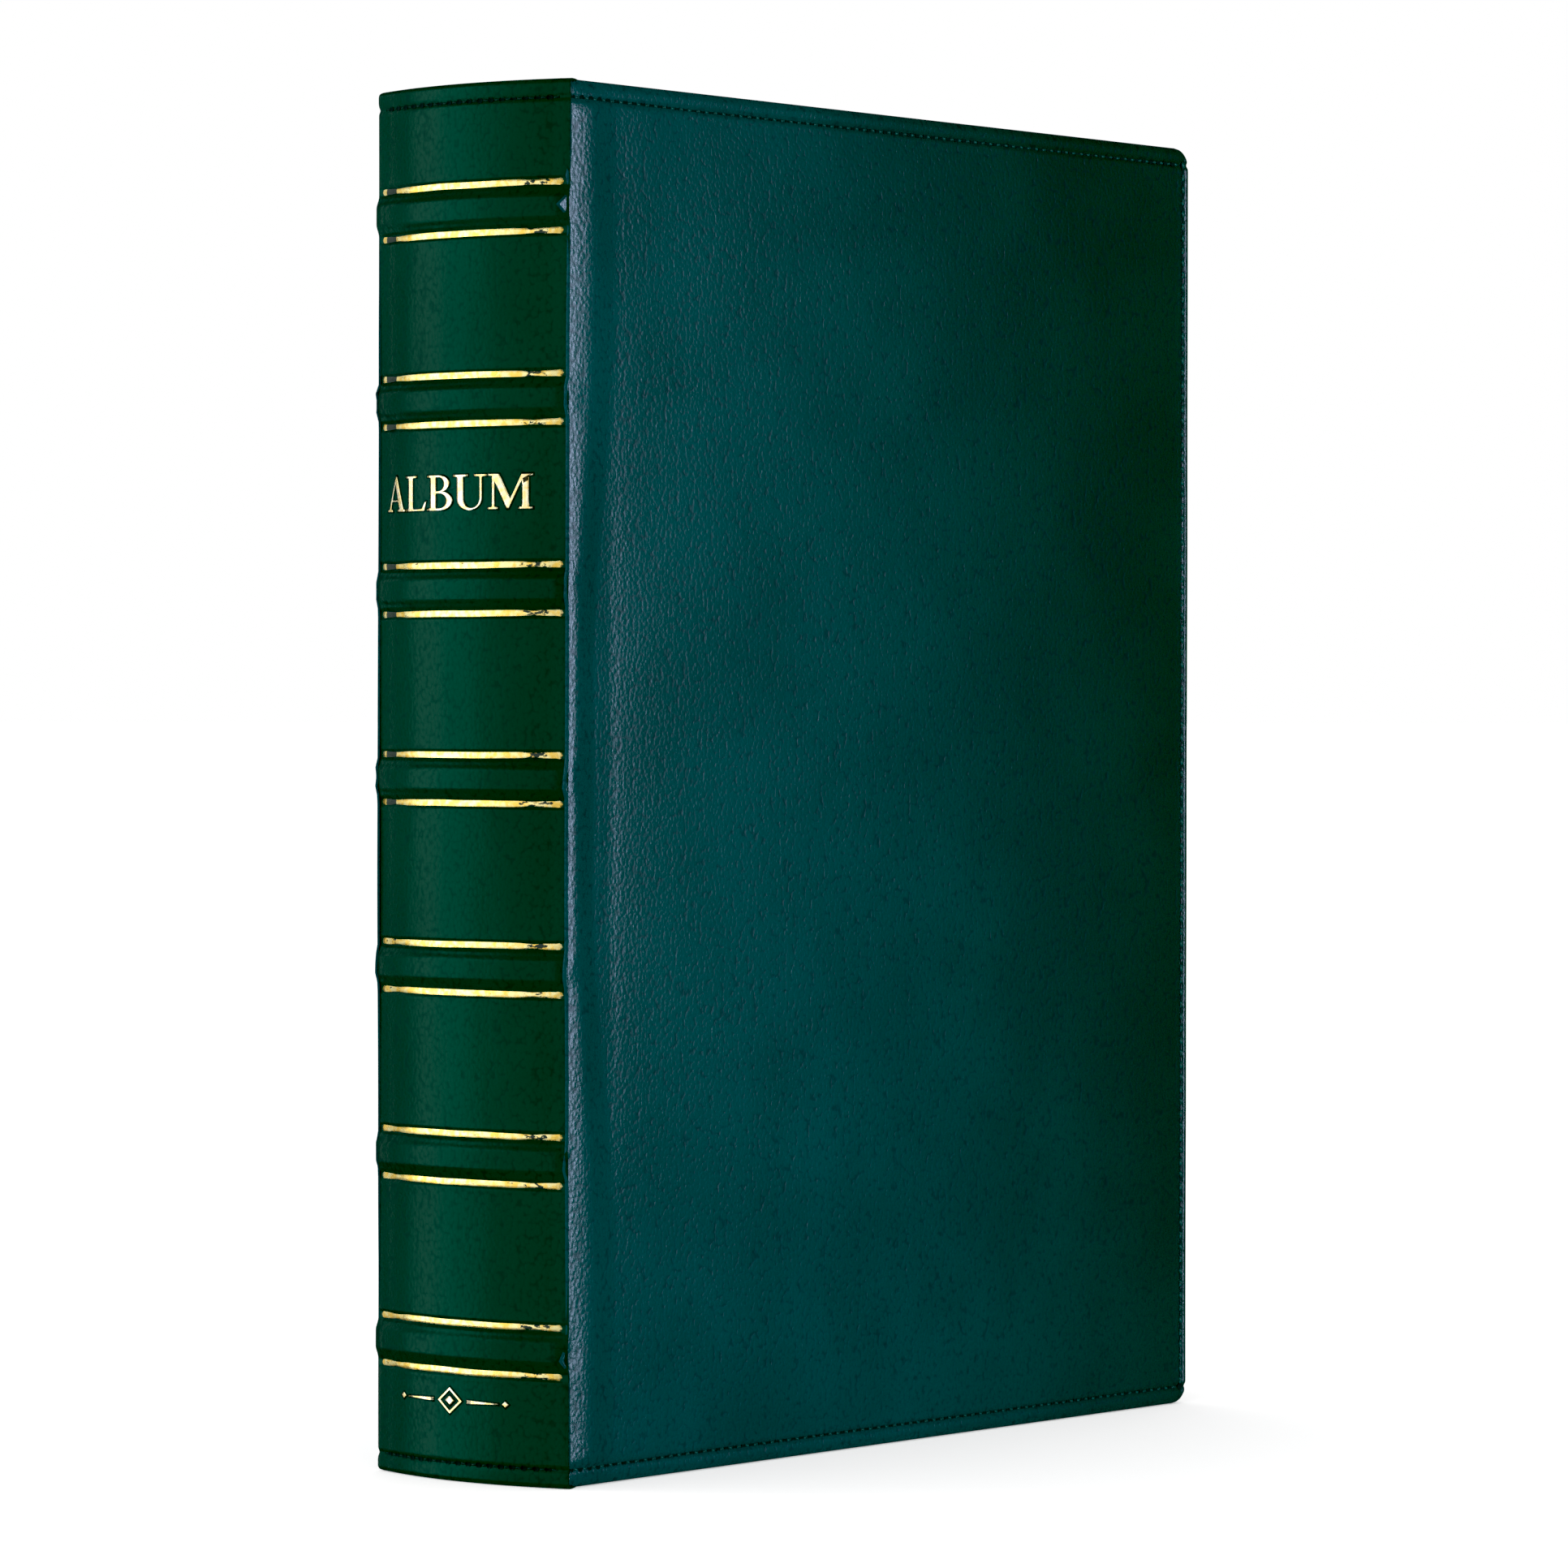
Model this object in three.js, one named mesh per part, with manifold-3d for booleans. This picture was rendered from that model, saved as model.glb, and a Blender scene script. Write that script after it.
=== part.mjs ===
// A padded A4 stamp album: a sewn leatherette case with a rounded spine and raised
// bands, and a block of stock leaves that turn on linen hinges.
//
// Frame: millimetres, +Z up. The album stands on its lower edges. +X runs from the spine
// to the fore edge, and the front cover faces -Y. The origin is the middle of its footprint.

import * as THREE from 'three';
import { mergeVertices } from 'three/addons/utils/BufferGeometryUtils.js';
import Module from 'manifold-3d';

// ---------- driving dimensions ----------

const HEIGHT = 310;            // case, foot to head
const WIDTH = 240;             // crown of the raised bands to the fore edge
const THICKNESS = 57;          // back cover face to front cover face

const LEATHER = 0.9;           // leatherette skin
const COVER_PAD = 1.7;         // foam under the cover's skin
const COVER_BOARD = 2.4;       // greyboard of a cover
const LINING = 0.4;            // paper pasted inside a cover and inside the spine
const SPINE_PAD = 1.0;         // foam under the spine's skin
const SPINE_BOARD = 2.4;       // greyboard of the spine
const MULL = 0.3;              // cloth glued over the back of the leaf block
const GLUE = 0.05;             // glue line between two layers

const EDGE_ROUND = 1.1;        // rolled edge of a cover
const FORE_CORNER = 5;         // rounded fore-edge corners

const SPINE_RADIUS = 80;       // bow of the spine, seen from above
const JOINT_RADIUS = 2.5;      // crease of the skin where spine turns into cover
const JOINT_FLAT = 9.3;        // flat skin between that crease and the cover's board
const JOINT_GAP = 0.3;         // slack between the joint's skin and its neighbours

const BAND_COUNT = 7;
const BAND_TOP_DROP = 28;      // head of the case to the middle of the top band
const BAND_FOOT_RISE = 30;     // foot of the case to the middle of the lowest band
const BAND_HEIGHT = 6.4;       // card strip under the skin
const BAND_RISE = 1.2;         // how far a band lifts the skin
const BAND_RAMP = 1.3;         // run of skin that climbs on to a band
const LINE_OFFSET = 5.35;      // middle of a band to its gold lines
const LINE_HEIGHT = 1.3;       // gold line
const FOIL = 0.15;             // foil and the skin pressed with it

const SQUARE = 4;              // how far the case stands beyond the leaves
const LEAF_COUNT = 20;
const LEAF_CARD = 0.9;         // card of a stock leaf
const LEAF_LINEN = 0.3;        // linen strip that the card hangs on
const LINEN_RUN = 12;          // linen between hinge line and card
const BLOCK_SLACK = 0.45;      // play between the block of leaves and each cover's lining
const LEAF_CORNER = 3;         // rounded fore-edge corners of a leaf

const GUARD_DEPTH = 4;         // sewn guards, where the bow of the spine leaves least room
const GUARD_SLOT = 0.6;        // slot that a leaf's linen is sewn into
const GUARD_SLOT_DEPTH = 1.6;
const GUARD_CLEARANCE = 0.3;   // front of the sewn guards to the hinge lines
const HEADBAND = 1.3;          // radius of the cloth roll at head and foot

const ROUND_STEPS = 4;         // facets round a quarter turn
const BOW_STEPS = 8;           // facets across the bow of the spine, each side

// ---------- derived places ----------

const foreX = WIDTH / 2;
const bandCrownX = -WIDTH / 2;
const spineX = bandCrownX + BAND_RISE;
const frontY = -THICKNESS / 2;
const bowCentreX = spineX + SPINE_RADIUS;
const jointCentreY = THICKNESS / 2 - JOINT_RADIUS;
const bowToJoint = SPINE_RADIUS - JOINT_RADIUS;
const jointCentreX = bowCentreX - Math.sqrt(bowToJoint ** 2 - jointCentreY ** 2);
const halfBow = Math.asin(jointCentreY / bowToJoint);
const boardX = jointCentreX + JOINT_FLAT;

const coverDepth = LEATHER + COVER_PAD + COVER_BOARD + LINING + 3 * GLUE;
const padRadius = SPINE_RADIUS - LEATHER - GLUE;
const spineBoardRadius = padRadius - SPINE_PAD - GLUE;
const spineLiningRadius = spineBoardRadius - SPINE_BOARD - GLUE;
const mullRadius = spineLiningRadius - LINING - GLUE;
const blockRadius = mullRadius - MULL - GLUE;
const turnInRadius = spineLiningRadius;

const bandPitch = (HEIGHT - BAND_TOP_DROP - BAND_FOOT_RISE) / (BAND_COUNT - 1);
const jointEndX = boardX - JOINT_GAP;
const leafPitch = (THICKNESS - 2 * (coverDepth + BLOCK_SLACK)) / LEAF_COUNT;
const blockHalf = LEAF_COUNT / 2 * leafPitch - JOINT_GAP;
const blockBackX = (y) => bowCentreX - Math.sqrt(blockRadius ** 2 - y ** 2);
const guardX = blockBackX(blockHalf) + GUARD_DEPTH;
const leafAxisX = guardX + GUARD_CLEARANCE;
const lineCount = 2 * BAND_COUNT;

// ---------- materials ----------

const paint = (color, roughness, metalness = 0) => () =>
  new THREE.MeshStandardMaterial({ color, roughness, metalness });

const leatherette = paint(0x0a4038, 0.42);
const foam = paint(0xd9d3bf, 0.95);
const greyboard = paint(0x8d867a, 0.9);
const liningPaper = paint(0x123a30, 0.75);
const cardStrip = paint(0xb59f78, 0.85);
const goldFoil = paint(0xd9a441, 0.25, 1);
const cloth = paint(0xe8e2d0, 0.9);
const guardBoard = paint(0x2a2a2c, 0.85);
const blackCard = paint(0x17171a, 0.8);

// ---------- small tools ----------

const wasm = await Module();
wasm.setup();

const album = new THREE.Group();

function add(name, geometry, material) {
  const mesh = new THREE.Mesh(geometry, material());
  mesh.name = name;
  album.add(mesh);
}

function toManifold(geometry) {
  const bare = geometry.clone();
  bare.deleteAttribute('normal');
  bare.deleteAttribute('uv');
  const merged = mergeVertices(bare, 1e-5);
  return new wasm.Manifold(new wasm.Mesh({
    numProp: 3,
    vertProperties: new Float32Array(merged.attributes.position.array),
    triVerts: new Uint32Array(merged.index.array),
  }));
}

function fromManifold(solid) {
  const mesh = solid.getMesh();
  const geometry = new THREE.BufferGeometry();
  geometry.setAttribute('position', new THREE.BufferAttribute(mesh.vertProperties, 3));
  geometry.setIndex(new THREE.BufferAttribute(mesh.triVerts, 1));
  return geometry;
}

// a plan outline (x, y) raised from z = low to z = high
function column(shape, low, high) {
  const geometry = new THREE.ExtrudeGeometry(shape, {
    depth: high - low, bevelEnabled: false, curveSegments: ROUND_STEPS,
  });
  return geometry.translate(0, 0, low);
}

// a front-view outline (x, z) thickened from y = low to y = high, its edges rolled by round
function slab(shape, low, high, round = 0) {
  const geometry = new THREE.ExtrudeGeometry(shape, {
    depth: high - low - 2 * round,
    bevelEnabled: round > 0,
    bevelThickness: round,
    bevelSize: round,
    bevelOffset: -round,
    bevelSegments: 2,
    curveSegments: ROUND_STEPS,
  });
  return geometry.rotateX(Math.PI / 2).translate(0, high - round, 0);
}

// a panel that is square at the spine side and has rounded corners at the fore edge
function panelOutline(left, right, low, high, corner) {
  const shape = new THREE.Shape();
  shape.moveTo(left, low);
  shape.lineTo(right - corner, low);
  shape.absarc(right - corner, low + corner, corner, -Math.PI / 2, 0);
  shape.lineTo(right, high - corner);
  shape.absarc(right - corner, high - corner, corner, 0, Math.PI / 2);
  shape.lineTo(left, high);
  shape.closePath();
  return shape;
}

// a (radius, z) section swept round the bow of the spine, steps facets each side of its crown
function bow(section, steps) {
  const shape = new THREE.Shape(section.map(([radius, z]) => new THREE.Vector2(radius, z)));
  const geometry = new THREE.ExtrudeGeometry(shape, {
    depth: 2 * steps, steps: 2 * steps, bevelEnabled: false,
  });
  const position = geometry.attributes.position;
  for (let i = 0; i < position.count; i++) {
    const radius = position.getX(i);
    const angle = (position.getZ(i) - steps) * halfBow / BOW_STEPS;
    position.setXYZ(i, bowCentreX - radius * Math.cos(angle), radius * Math.sin(angle),
      position.getY(i));
  }
  return geometry;
}

// a plain layer of the spine between two radii and two heights
function bowLayer(outer, inner, low, high, steps = BOW_STEPS) {
  return bow([[inner, low], [outer, low], [outer, high], [inner, high]], steps);
}

const bandZ = (index) => HEIGHT - BAND_TOP_DROP - index * bandPitch;

// ---------- spine ----------

// The skin climbs over each band, and turns in over the board at head and foot.
function spineLeather() {
  const flank = (radius) => Array.from({ length: BAND_COUNT }, (_, i) => {
    const middle = bandZ(BAND_COUNT - 1 - i);
    const top = BAND_HEIGHT / 2;
    const foot = top + BAND_RAMP;
    return [
      [radius, middle - foot],
      [radius + BAND_RISE, middle - top],
      [radius + BAND_RISE, middle + top],
      [radius, middle + foot],
    ];
  }).flat();
  const inner = SPINE_RADIUS - LEATHER;
  const section = [
    [turnInRadius, 0],
    [SPINE_RADIUS, 0],
    ...flank(SPINE_RADIUS),
    [SPINE_RADIUS, HEIGHT],
    [turnInRadius, HEIGHT],
    [turnInRadius, HEIGHT - LEATHER],
    [inner, HEIGHT - LEATHER],
    ...flank(inner).reverse(),
    [inner, LEATHER],
    [turnInRadius, LEATHER],
  ];
  return bow(section, BOW_STEPS);
}

const layerLow = LEATHER + GLUE;
const layerHigh = HEIGHT - LEATHER - GLUE;

add('spine_leather', spineLeather(), leatherette);
add('spine_pad', bowLayer(padRadius, padRadius - SPINE_PAD, layerLow, layerHigh), foam);
add('spine_board',
  bowLayer(spineBoardRadius, spineBoardRadius - SPINE_BOARD, layerLow, layerHigh), greyboard);
add('spine_lining',
  bowLayer(spineLiningRadius - GLUE, spineLiningRadius - LINING, SQUARE, HEIGHT - SQUARE,
    BOW_STEPS - 1), liningPaper);
add('spine_mull',
  bowLayer(mullRadius, mullRadius - MULL, SQUARE, HEIGHT - SQUARE, BOW_STEPS - 1), cloth);

// Each raised band is a card strip between the foam and the skin.
const bandOuter = SPINE_RADIUS - LEATHER + BAND_RISE - GLUE;
for (let i = 0; i < BAND_COUNT; i++) {
  const middle = bandZ(i);
  const half = BAND_HEIGHT / 2 - GLUE;
  add(`raised_band_${i + 1}`,
    bowLayer(bandOuter, padRadius + GLUE, middle - half, middle + half, BOW_STEPS - 1),
    cardStrip);
}

// Two gold lines frame each band, one above and one below.
for (let i = 0; i < lineCount; i++) {
  const side = i % 2 === 0 ? 1 : -1;
  const middle = bandZ(Math.floor(i / 2)) + side * LINE_OFFSET;
  add(`gold_line_${i + 1}`,
    bowLayer(SPINE_RADIUS + GLUE + FOIL, SPINE_RADIUS + GLUE,
      middle - LINE_HEIGHT / 2, middle + LINE_HEIGHT / 2, BOW_STEPS - 1),
    goldFoil);
}

// ---------- joints and covers, front (side -1) and back (side +1) ----------

// The skin between spine and cover rolls round a corner. It is drawn at the front and
// turned over for the back, so its points run the other way there.
function jointStrip(side) {
  const inner = JOINT_RADIUS - LEATHER;
  const from = Math.PI + halfBow;
  const to = Math.PI * 3 / 2;
  const slack = JOINT_GAP / JOINT_RADIUS;
  const shape = new THREE.Shape();
  shape.absarc(jointCentreX, -jointCentreY, JOINT_RADIUS, from + slack, to);
  shape.lineTo(jointEndX, frontY);
  shape.lineTo(jointEndX, frontY + LEATHER);
  shape.absarc(jointCentreX, -jointCentreY, inner, to, from + slack, true);
  shape.closePath();
  const strip = column(shape, 0, HEIGHT);
  return side < 0 ? strip : strip.rotateX(Math.PI).translate(0, 0, HEIGHT);
}

// the y range of a cover layer, given its depths below the cover's face
function coverRange(side, shallow, deep) {
  const a = side * (THICKNESS / 2 - shallow);
  const b = side * (THICKNESS / 2 - deep);
  return [Math.min(a, b), Math.max(a, b)];
}

function coverPanel(side, margin, shallow, deep, round = 0) {
  const outline = panelOutline(boardX, foreX - margin, margin, HEIGHT - margin,
    Math.max(FORE_CORNER - margin, EDGE_ROUND));
  return slab(outline, ...coverRange(side, shallow, deep), round);
}

// The cover's skin is a tray, turned over the board on three sides and open at the joint.
function coverLeather(side) {
  const body = coverPanel(side, 0, 0, coverDepth, EDGE_ROUND);
  const pocketOutline = panelOutline(boardX - LEATHER, foreX - LEATHER, LEATHER,
    HEIGHT - LEATHER, FORE_CORNER - LEATHER);
  const pocket = slab(pocketOutline, ...coverRange(side, LEATHER, coverDepth + LEATHER));
  return fromManifold(toManifold(body).subtract(toManifold(pocket)));
}

const padDepth = LEATHER + GLUE;
const boardDepth = padDepth + COVER_PAD + GLUE;
const liningDepth = boardDepth + COVER_BOARD + GLUE;
const layerMargin = LEATHER + GLUE;

for (const [side, name] of [[-1, 'front'], [1, 'back']]) {
  add(`${name}_joint_strip`, jointStrip(side), leatherette);
  add(`${name}_cover_leather`, coverLeather(side), leatherette);
  add(`${name}_foam_pad`,
    coverPanel(side, layerMargin, padDepth, padDepth + COVER_PAD), foam);
  add(`${name}_board`,
    coverPanel(side, layerMargin, boardDepth, boardDepth + COVER_BOARD), greyboard);
  add(`${name}_lining`,
    coverPanel(side, layerMargin, liningDepth, liningDepth + LINING), liningPaper);
}

// ---------- leaf block ----------

const leafLow = SQUARE;
const leafHigh = HEIGHT - SQUARE;
const leafY = (index) => (index - (LEAF_COUNT - 1) / 2) * leafPitch;

// The sewn guards are a comb: each slot holds the linen of one leaf.
function guardBlock() {
  const shape = new THREE.Shape();
  shape.moveTo(guardX, -blockHalf);
  for (let i = 0; i < LEAF_COUNT; i++) {
    const y = leafY(i);
    shape.lineTo(guardX, y - GUARD_SLOT / 2);
    shape.lineTo(guardX - GUARD_SLOT_DEPTH, y);
    shape.lineTo(guardX, y + GUARD_SLOT / 2);
  }
  shape.lineTo(guardX, blockHalf);
  for (let i = 0; i <= BOW_STEPS; i++) {
    const y = blockHalf * (1 - 2 * i / BOW_STEPS);
    shape.lineTo(blockBackX(y), y);
  }
  shape.closePath();
  return column(shape, leafLow, leafHigh);
}

// A leaf in plan: a rounded linen edge on the hinge line, then the card.
function leafSection(y) {
  const linen = LEAF_LINEN / 2;
  const card = LEAF_CARD / 2;
  const cardX = leafAxisX + LINEN_RUN;
  const shape = new THREE.Shape();
  shape.absarc(leafAxisX, y, linen, Math.PI / 2, Math.PI * 3 / 2);
  shape.lineTo(cardX, y - linen);
  shape.lineTo(cardX + card, y - card);
  shape.lineTo(foreX - SQUARE, y - card);
  shape.lineTo(foreX - SQUARE, y + card);
  shape.lineTo(cardX + card, y + card);
  shape.lineTo(cardX, y + linen);
  shape.closePath();
  return shape;
}

// The fore-edge corners of the card are rounded by cutting with the leaf's front outline.
function leaf(index) {
  const y = leafY(index);
  const bar = column(leafSection(y), leafLow, leafHigh);
  const outline = panelOutline(leafAxisX - LEAF_CARD, foreX - SQUARE, leafLow, leafHigh,
    LEAF_CORNER);
  const trim = slab(outline, y - LEAF_CARD, y + LEAF_CARD);
  return fromManifold(toManifold(bar).intersect(toManifold(trim)));
}

// A headband is a half roll of cloth across the end of the guards.
function headband(z, up) {
  const shape = new THREE.Shape();
  shape.absarc(0, 0, HEADBAND, 0, Math.PI);
  shape.closePath();
  const half = blockHalf - HEADBAND;
  const roll = new THREE.ExtrudeGeometry(shape, {
    depth: 2 * half, bevelEnabled: false, curveSegments: 2 * ROUND_STEPS,
  });
  const x = guardX - HEADBAND - GLUE;
  roll.rotateX(up * Math.PI / 2);
  return roll.translate(x, up * half, z + up * GLUE);
}

add('guard_block', guardBlock(), guardBoard);
add('headband_top', headband(leafHigh, 1), cloth);
add('headband_bottom', headband(leafLow, -1), cloth);
for (let i = 0; i < LEAF_COUNT; i++) {
  add(`leaf_${String(i + 1).padStart(2, '0')}`, leaf(i), blackCard);
}

export default album;
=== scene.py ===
# %% [markdown]
# # A padded stamp album, made in Blender around its engineering model
#
# The album is a case of dark green leatherette, with a bowed spine, seven raised bands and gold
# lines, round a block of black stock leaves. The engineering model already fixes where each part
# is and how it turns. This lesson makes what the eye sees: the soft skin and its sewing, the
# foil, the papers and the finishes. All sizes are in metres, in the model's own frame: +Z up,
# +X from the spine to the fore edge, and the front cover faces -Y.

# %% Load the frame
import math

import bmesh
import bpy
from mathutils import Matrix, Vector, noise


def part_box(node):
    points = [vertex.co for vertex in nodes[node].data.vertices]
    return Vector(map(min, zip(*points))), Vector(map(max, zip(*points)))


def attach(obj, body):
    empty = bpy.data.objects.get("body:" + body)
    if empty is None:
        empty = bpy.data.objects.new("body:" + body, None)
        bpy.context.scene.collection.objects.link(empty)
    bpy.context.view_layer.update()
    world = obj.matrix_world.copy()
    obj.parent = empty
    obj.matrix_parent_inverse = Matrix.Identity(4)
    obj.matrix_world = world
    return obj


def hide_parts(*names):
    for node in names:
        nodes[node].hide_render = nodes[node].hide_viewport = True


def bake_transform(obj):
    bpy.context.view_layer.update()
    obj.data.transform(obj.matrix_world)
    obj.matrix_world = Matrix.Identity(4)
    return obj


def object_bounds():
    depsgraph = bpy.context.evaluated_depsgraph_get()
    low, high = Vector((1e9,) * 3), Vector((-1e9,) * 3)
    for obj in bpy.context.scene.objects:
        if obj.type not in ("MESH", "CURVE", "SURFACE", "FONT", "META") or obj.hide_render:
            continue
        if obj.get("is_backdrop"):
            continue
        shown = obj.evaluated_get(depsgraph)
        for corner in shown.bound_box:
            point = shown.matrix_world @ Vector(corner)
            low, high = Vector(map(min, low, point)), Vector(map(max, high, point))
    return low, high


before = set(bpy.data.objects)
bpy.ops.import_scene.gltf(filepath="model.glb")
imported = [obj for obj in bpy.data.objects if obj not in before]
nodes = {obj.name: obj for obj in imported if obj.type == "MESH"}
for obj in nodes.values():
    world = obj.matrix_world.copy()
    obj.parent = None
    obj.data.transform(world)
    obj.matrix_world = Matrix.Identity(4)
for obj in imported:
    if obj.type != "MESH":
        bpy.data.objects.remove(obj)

cad_low, cad_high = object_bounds()

# %% [markdown]
# ## Driving sizes
#
# Places come from the frame wherever it knows them, such as the height of each band. The few
# sizes below say how soft the case is: they can't be measured on the plain solids. `mm` turns
# the usual workshop millimetres into Blender's metres.

# %% Sizes and places
mm = 0.001

HEIGHT = cad_high[2]
FORE_X = cad_high[0]
FACE_Y = cad_high[1]                       # half of the album's thickness
BAND_RISE = 1.2 * mm
SPINE_RADIUS = 80 * mm
SKIN = 0.6 * mm                            # leatherette on the spine
COVER_SKIN = 0.35 * mm                     # leatherette on the covers, skived to be turned in
PAD_DROP = 0.85 * mm                       # how far the skin sinks from the pad's crown to a seam
FORE_CORNER = 5 * mm
ROW_INSET = 4.2 * mm                       # sewing rows at head and foot
FORE_ROW_INSET = 3.2 * mm                  # sewing row at the fore edge
STITCH = 3 * mm
BANDS, LINES, LEAVES = 7, 14, 20
SIDES = ((-1, "front"), (1, "back"))       # which way along Y each cover faces
LINING_DEPTH = 5.75 * mm                   # end paper's middle, below the cover's face

bow_x = cad_low[0] + BAND_RISE + SPINE_RADIUS
crease_y = 28.3 * mm
crease_angle = math.asin(crease_y / SPINE_RADIUS)
crease_x = bow_x - SPINE_RADIUS * math.cos(crease_angle)


def middle_z(node):
    low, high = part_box(node)
    return (low.z + high.z) / 2


band_heights = [middle_z(f"raised_band_{i}") for i in range(1, BANDS + 1)]
line_heights = [middle_z(f"gold_line_{i}") for i in range(1, LINES + 1)]
print("crease at x", round(crease_x, 4), "bow", round(math.degrees(crease_angle), 2), "degrees")

# %% [markdown]
# ## Small tools for the bench
#
# Blender's operators act on whatever is selected and active, so each step starts from an empty
# selection. These helpers do just that: they pick an object, open it for editing, choose
# vertices by where they are, and close it again. `settle` puts an object's place into its mesh,
# so that every finished piece has its own origin at the model's origin.

# %% Bench tools
def pick(obj):
    if bpy.context.object and bpy.context.object.mode != "OBJECT":
        bpy.ops.object.mode_set(mode="OBJECT")
    bpy.ops.object.select_all(action="DESELECT")
    obj.select_set(True)
    bpy.context.view_layer.objects.active = obj
    return obj


def named(name):
    obj = bpy.context.object
    obj.name = name
    obj.data.name = name
    return obj


def edit(obj):
    pick(obj)
    bpy.ops.object.mode_set(mode="EDIT")
    bpy.ops.mesh.select_all(action="SELECT")
    return obj


def done(obj):
    bpy.ops.object.mode_set(mode="OBJECT")
    return obj


def choose(obj, test, kind="verts"):
    """In edit mode, select only the vertices, edges or faces whose place passes the test."""
    bpy.ops.mesh.select_mode(type={"verts": "VERT", "edges": "EDGE", "faces": "FACE"}[kind])
    bpy.ops.mesh.select_all(action="DESELECT")
    mesh = bmesh.from_edit_mesh(obj.data)
    for item in getattr(mesh, kind):
        if kind == "verts":
            place = item.co
        elif kind == "edges":
            place = (item.verts[0].co + item.verts[1].co) / 2
        else:
            place = item.calc_center_median()
        item.select_set(bool(test(place)))
    mesh.select_flush_mode()
    bmesh.update_edit_mesh(obj.data)


def choose_open_edges(obj, test=lambda place: True):
    """In edit mode, select the edges that have one face only and whose place passes the test."""
    bpy.ops.mesh.select_mode(type="EDGE")
    bpy.ops.mesh.select_all(action="DESELECT")
    mesh = bmesh.from_edit_mesh(obj.data)
    for edge in mesh.edges:
        middle = (edge.verts[0].co + edge.verts[1].co) / 2
        edge.select_set(len(edge.link_faces) == 1 and test(middle))
    bmesh.update_edit_mesh(obj.data)


def move_points(obj, change):
    """Give every vertex the place that change(place) says."""
    for vertex in obj.data.vertices:
        vertex.co = change(vertex.co.copy())
    obj.data.update()
    return obj


def settle(obj):
    pick(obj)
    bpy.ops.object.transform_apply(location=True, rotation=True, scale=True)
    return obj


def start(add, name, **settings):
    """Begin a piece from one of Blender's primitives, with its place in its mesh."""
    bpy.ops.object.select_all(action="DESELECT")
    add(**settings)
    return settle(named(name))


def modify(obj, kind, **settings):
    pick(obj)
    modifier = obj.modifiers.new(kind.lower(), kind)
    for key, value in settings.items():
        setattr(modifier, key, value)
    bpy.ops.object.modifier_apply(modifier=modifier.name)
    return obj


def copy_of(obj, name, change=None):
    """A copy with a mesh of its own, its points moved by change."""
    twin = obj.copy()
    twin.data = obj.data.copy()
    twin.name = twin.data.name = name
    bpy.context.scene.collection.objects.link(twin)
    return move_points(twin, change) if change else twin


def mirrored(place):
    return Vector((place.x, -place.y, place.z))


def mirror_of(obj, name):
    """A mirrored copy, its faces turned over so that they look outwards again."""
    twin = copy_of(obj, name, mirrored)
    twin.data.flip_normals()
    return twin


def join(name, *parts):
    pick(parts[0])
    for part in parts[1:]:
        part.select_set(True)
    bpy.ops.object.join()
    return named(name)


def outward(obj, test):
    """Turn all faces over if test, added up over them, says that they look inwards."""
    faces = obj.data.polygons
    if sum(test(face) for face in faces) < 0:
        obj.data.flip_normals()
    return obj


def smooth(obj, degrees=40):
    pick(obj)
    bpy.ops.object.shade_smooth_by_angle(angle=math.radians(degrees))
    return obj


def soft_step(value, low, high):
    """0 below low, 1 above high, and a smooth climb between them."""
    t = min(max((value - low) / (high - low), 0.0), 1.0)
    return t * t * (3 - 2 * t)


def ridge(distance, width):
    """1 at no distance, and next to nothing past twice the width."""
    return math.exp(-(distance / width) ** 2)


def stations(low, high, features, fine, coarse):
    """Places from low to high: close together at the features (centre, reach), wide between."""
    places = [low]
    while places[-1] < high:
        here = places[-1]
        gap = min(max(abs(here - centre) - reach, 0) for centre, reach in features)
        places.append(here + min(coarse, fine + 0.3 * gap))
    stretch = (high - low) / (places[-1] - low)
    return [low + (place - low) * stretch for place in places]


def on_bow(place):
    """Wrap a flat point round the spine: x is the run along the bow, y the lift, z the height."""
    angle = place.x / SPINE_RADIUS
    radius = SPINE_RADIUS + place.y
    return Vector((bow_x - radius * math.cos(angle), radius * math.sin(angle), place.z))


# %% [markdown]
# ## Finishes as Python arithmetic
#
# A shader is a graph of nodes, and a graph is hard to read as text. The class below wraps one
# socket, so that `1 - wear * 0.5` adds the Math nodes by itself. Colours go through Mix, since
# a Math node would turn them grey. Numbers that stay the same over a surface are set directly
# on the shader.

# %% The shader helper
class Socket:
    def __init__(self, finish, output):
        self.finish = finish
        self.output = output

    def math(self, operation, a, b):
        return self.finish.node("Math", {"operation": operation}, {0: a, 1: b})

    def __add__(self, other):
        return self.math("ADD", self, other)

    def __sub__(self, other):
        return self.math("SUBTRACT", self, other)

    def __rsub__(self, other):
        return self.math("SUBTRACT", other, self)

    def __mul__(self, other):
        return self.math("MULTIPLY", self, other)

    def __pow__(self, other):
        return self.math("POWER", self, other)

    __radd__ = __add__
    __rmul__ = __mul__


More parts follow.
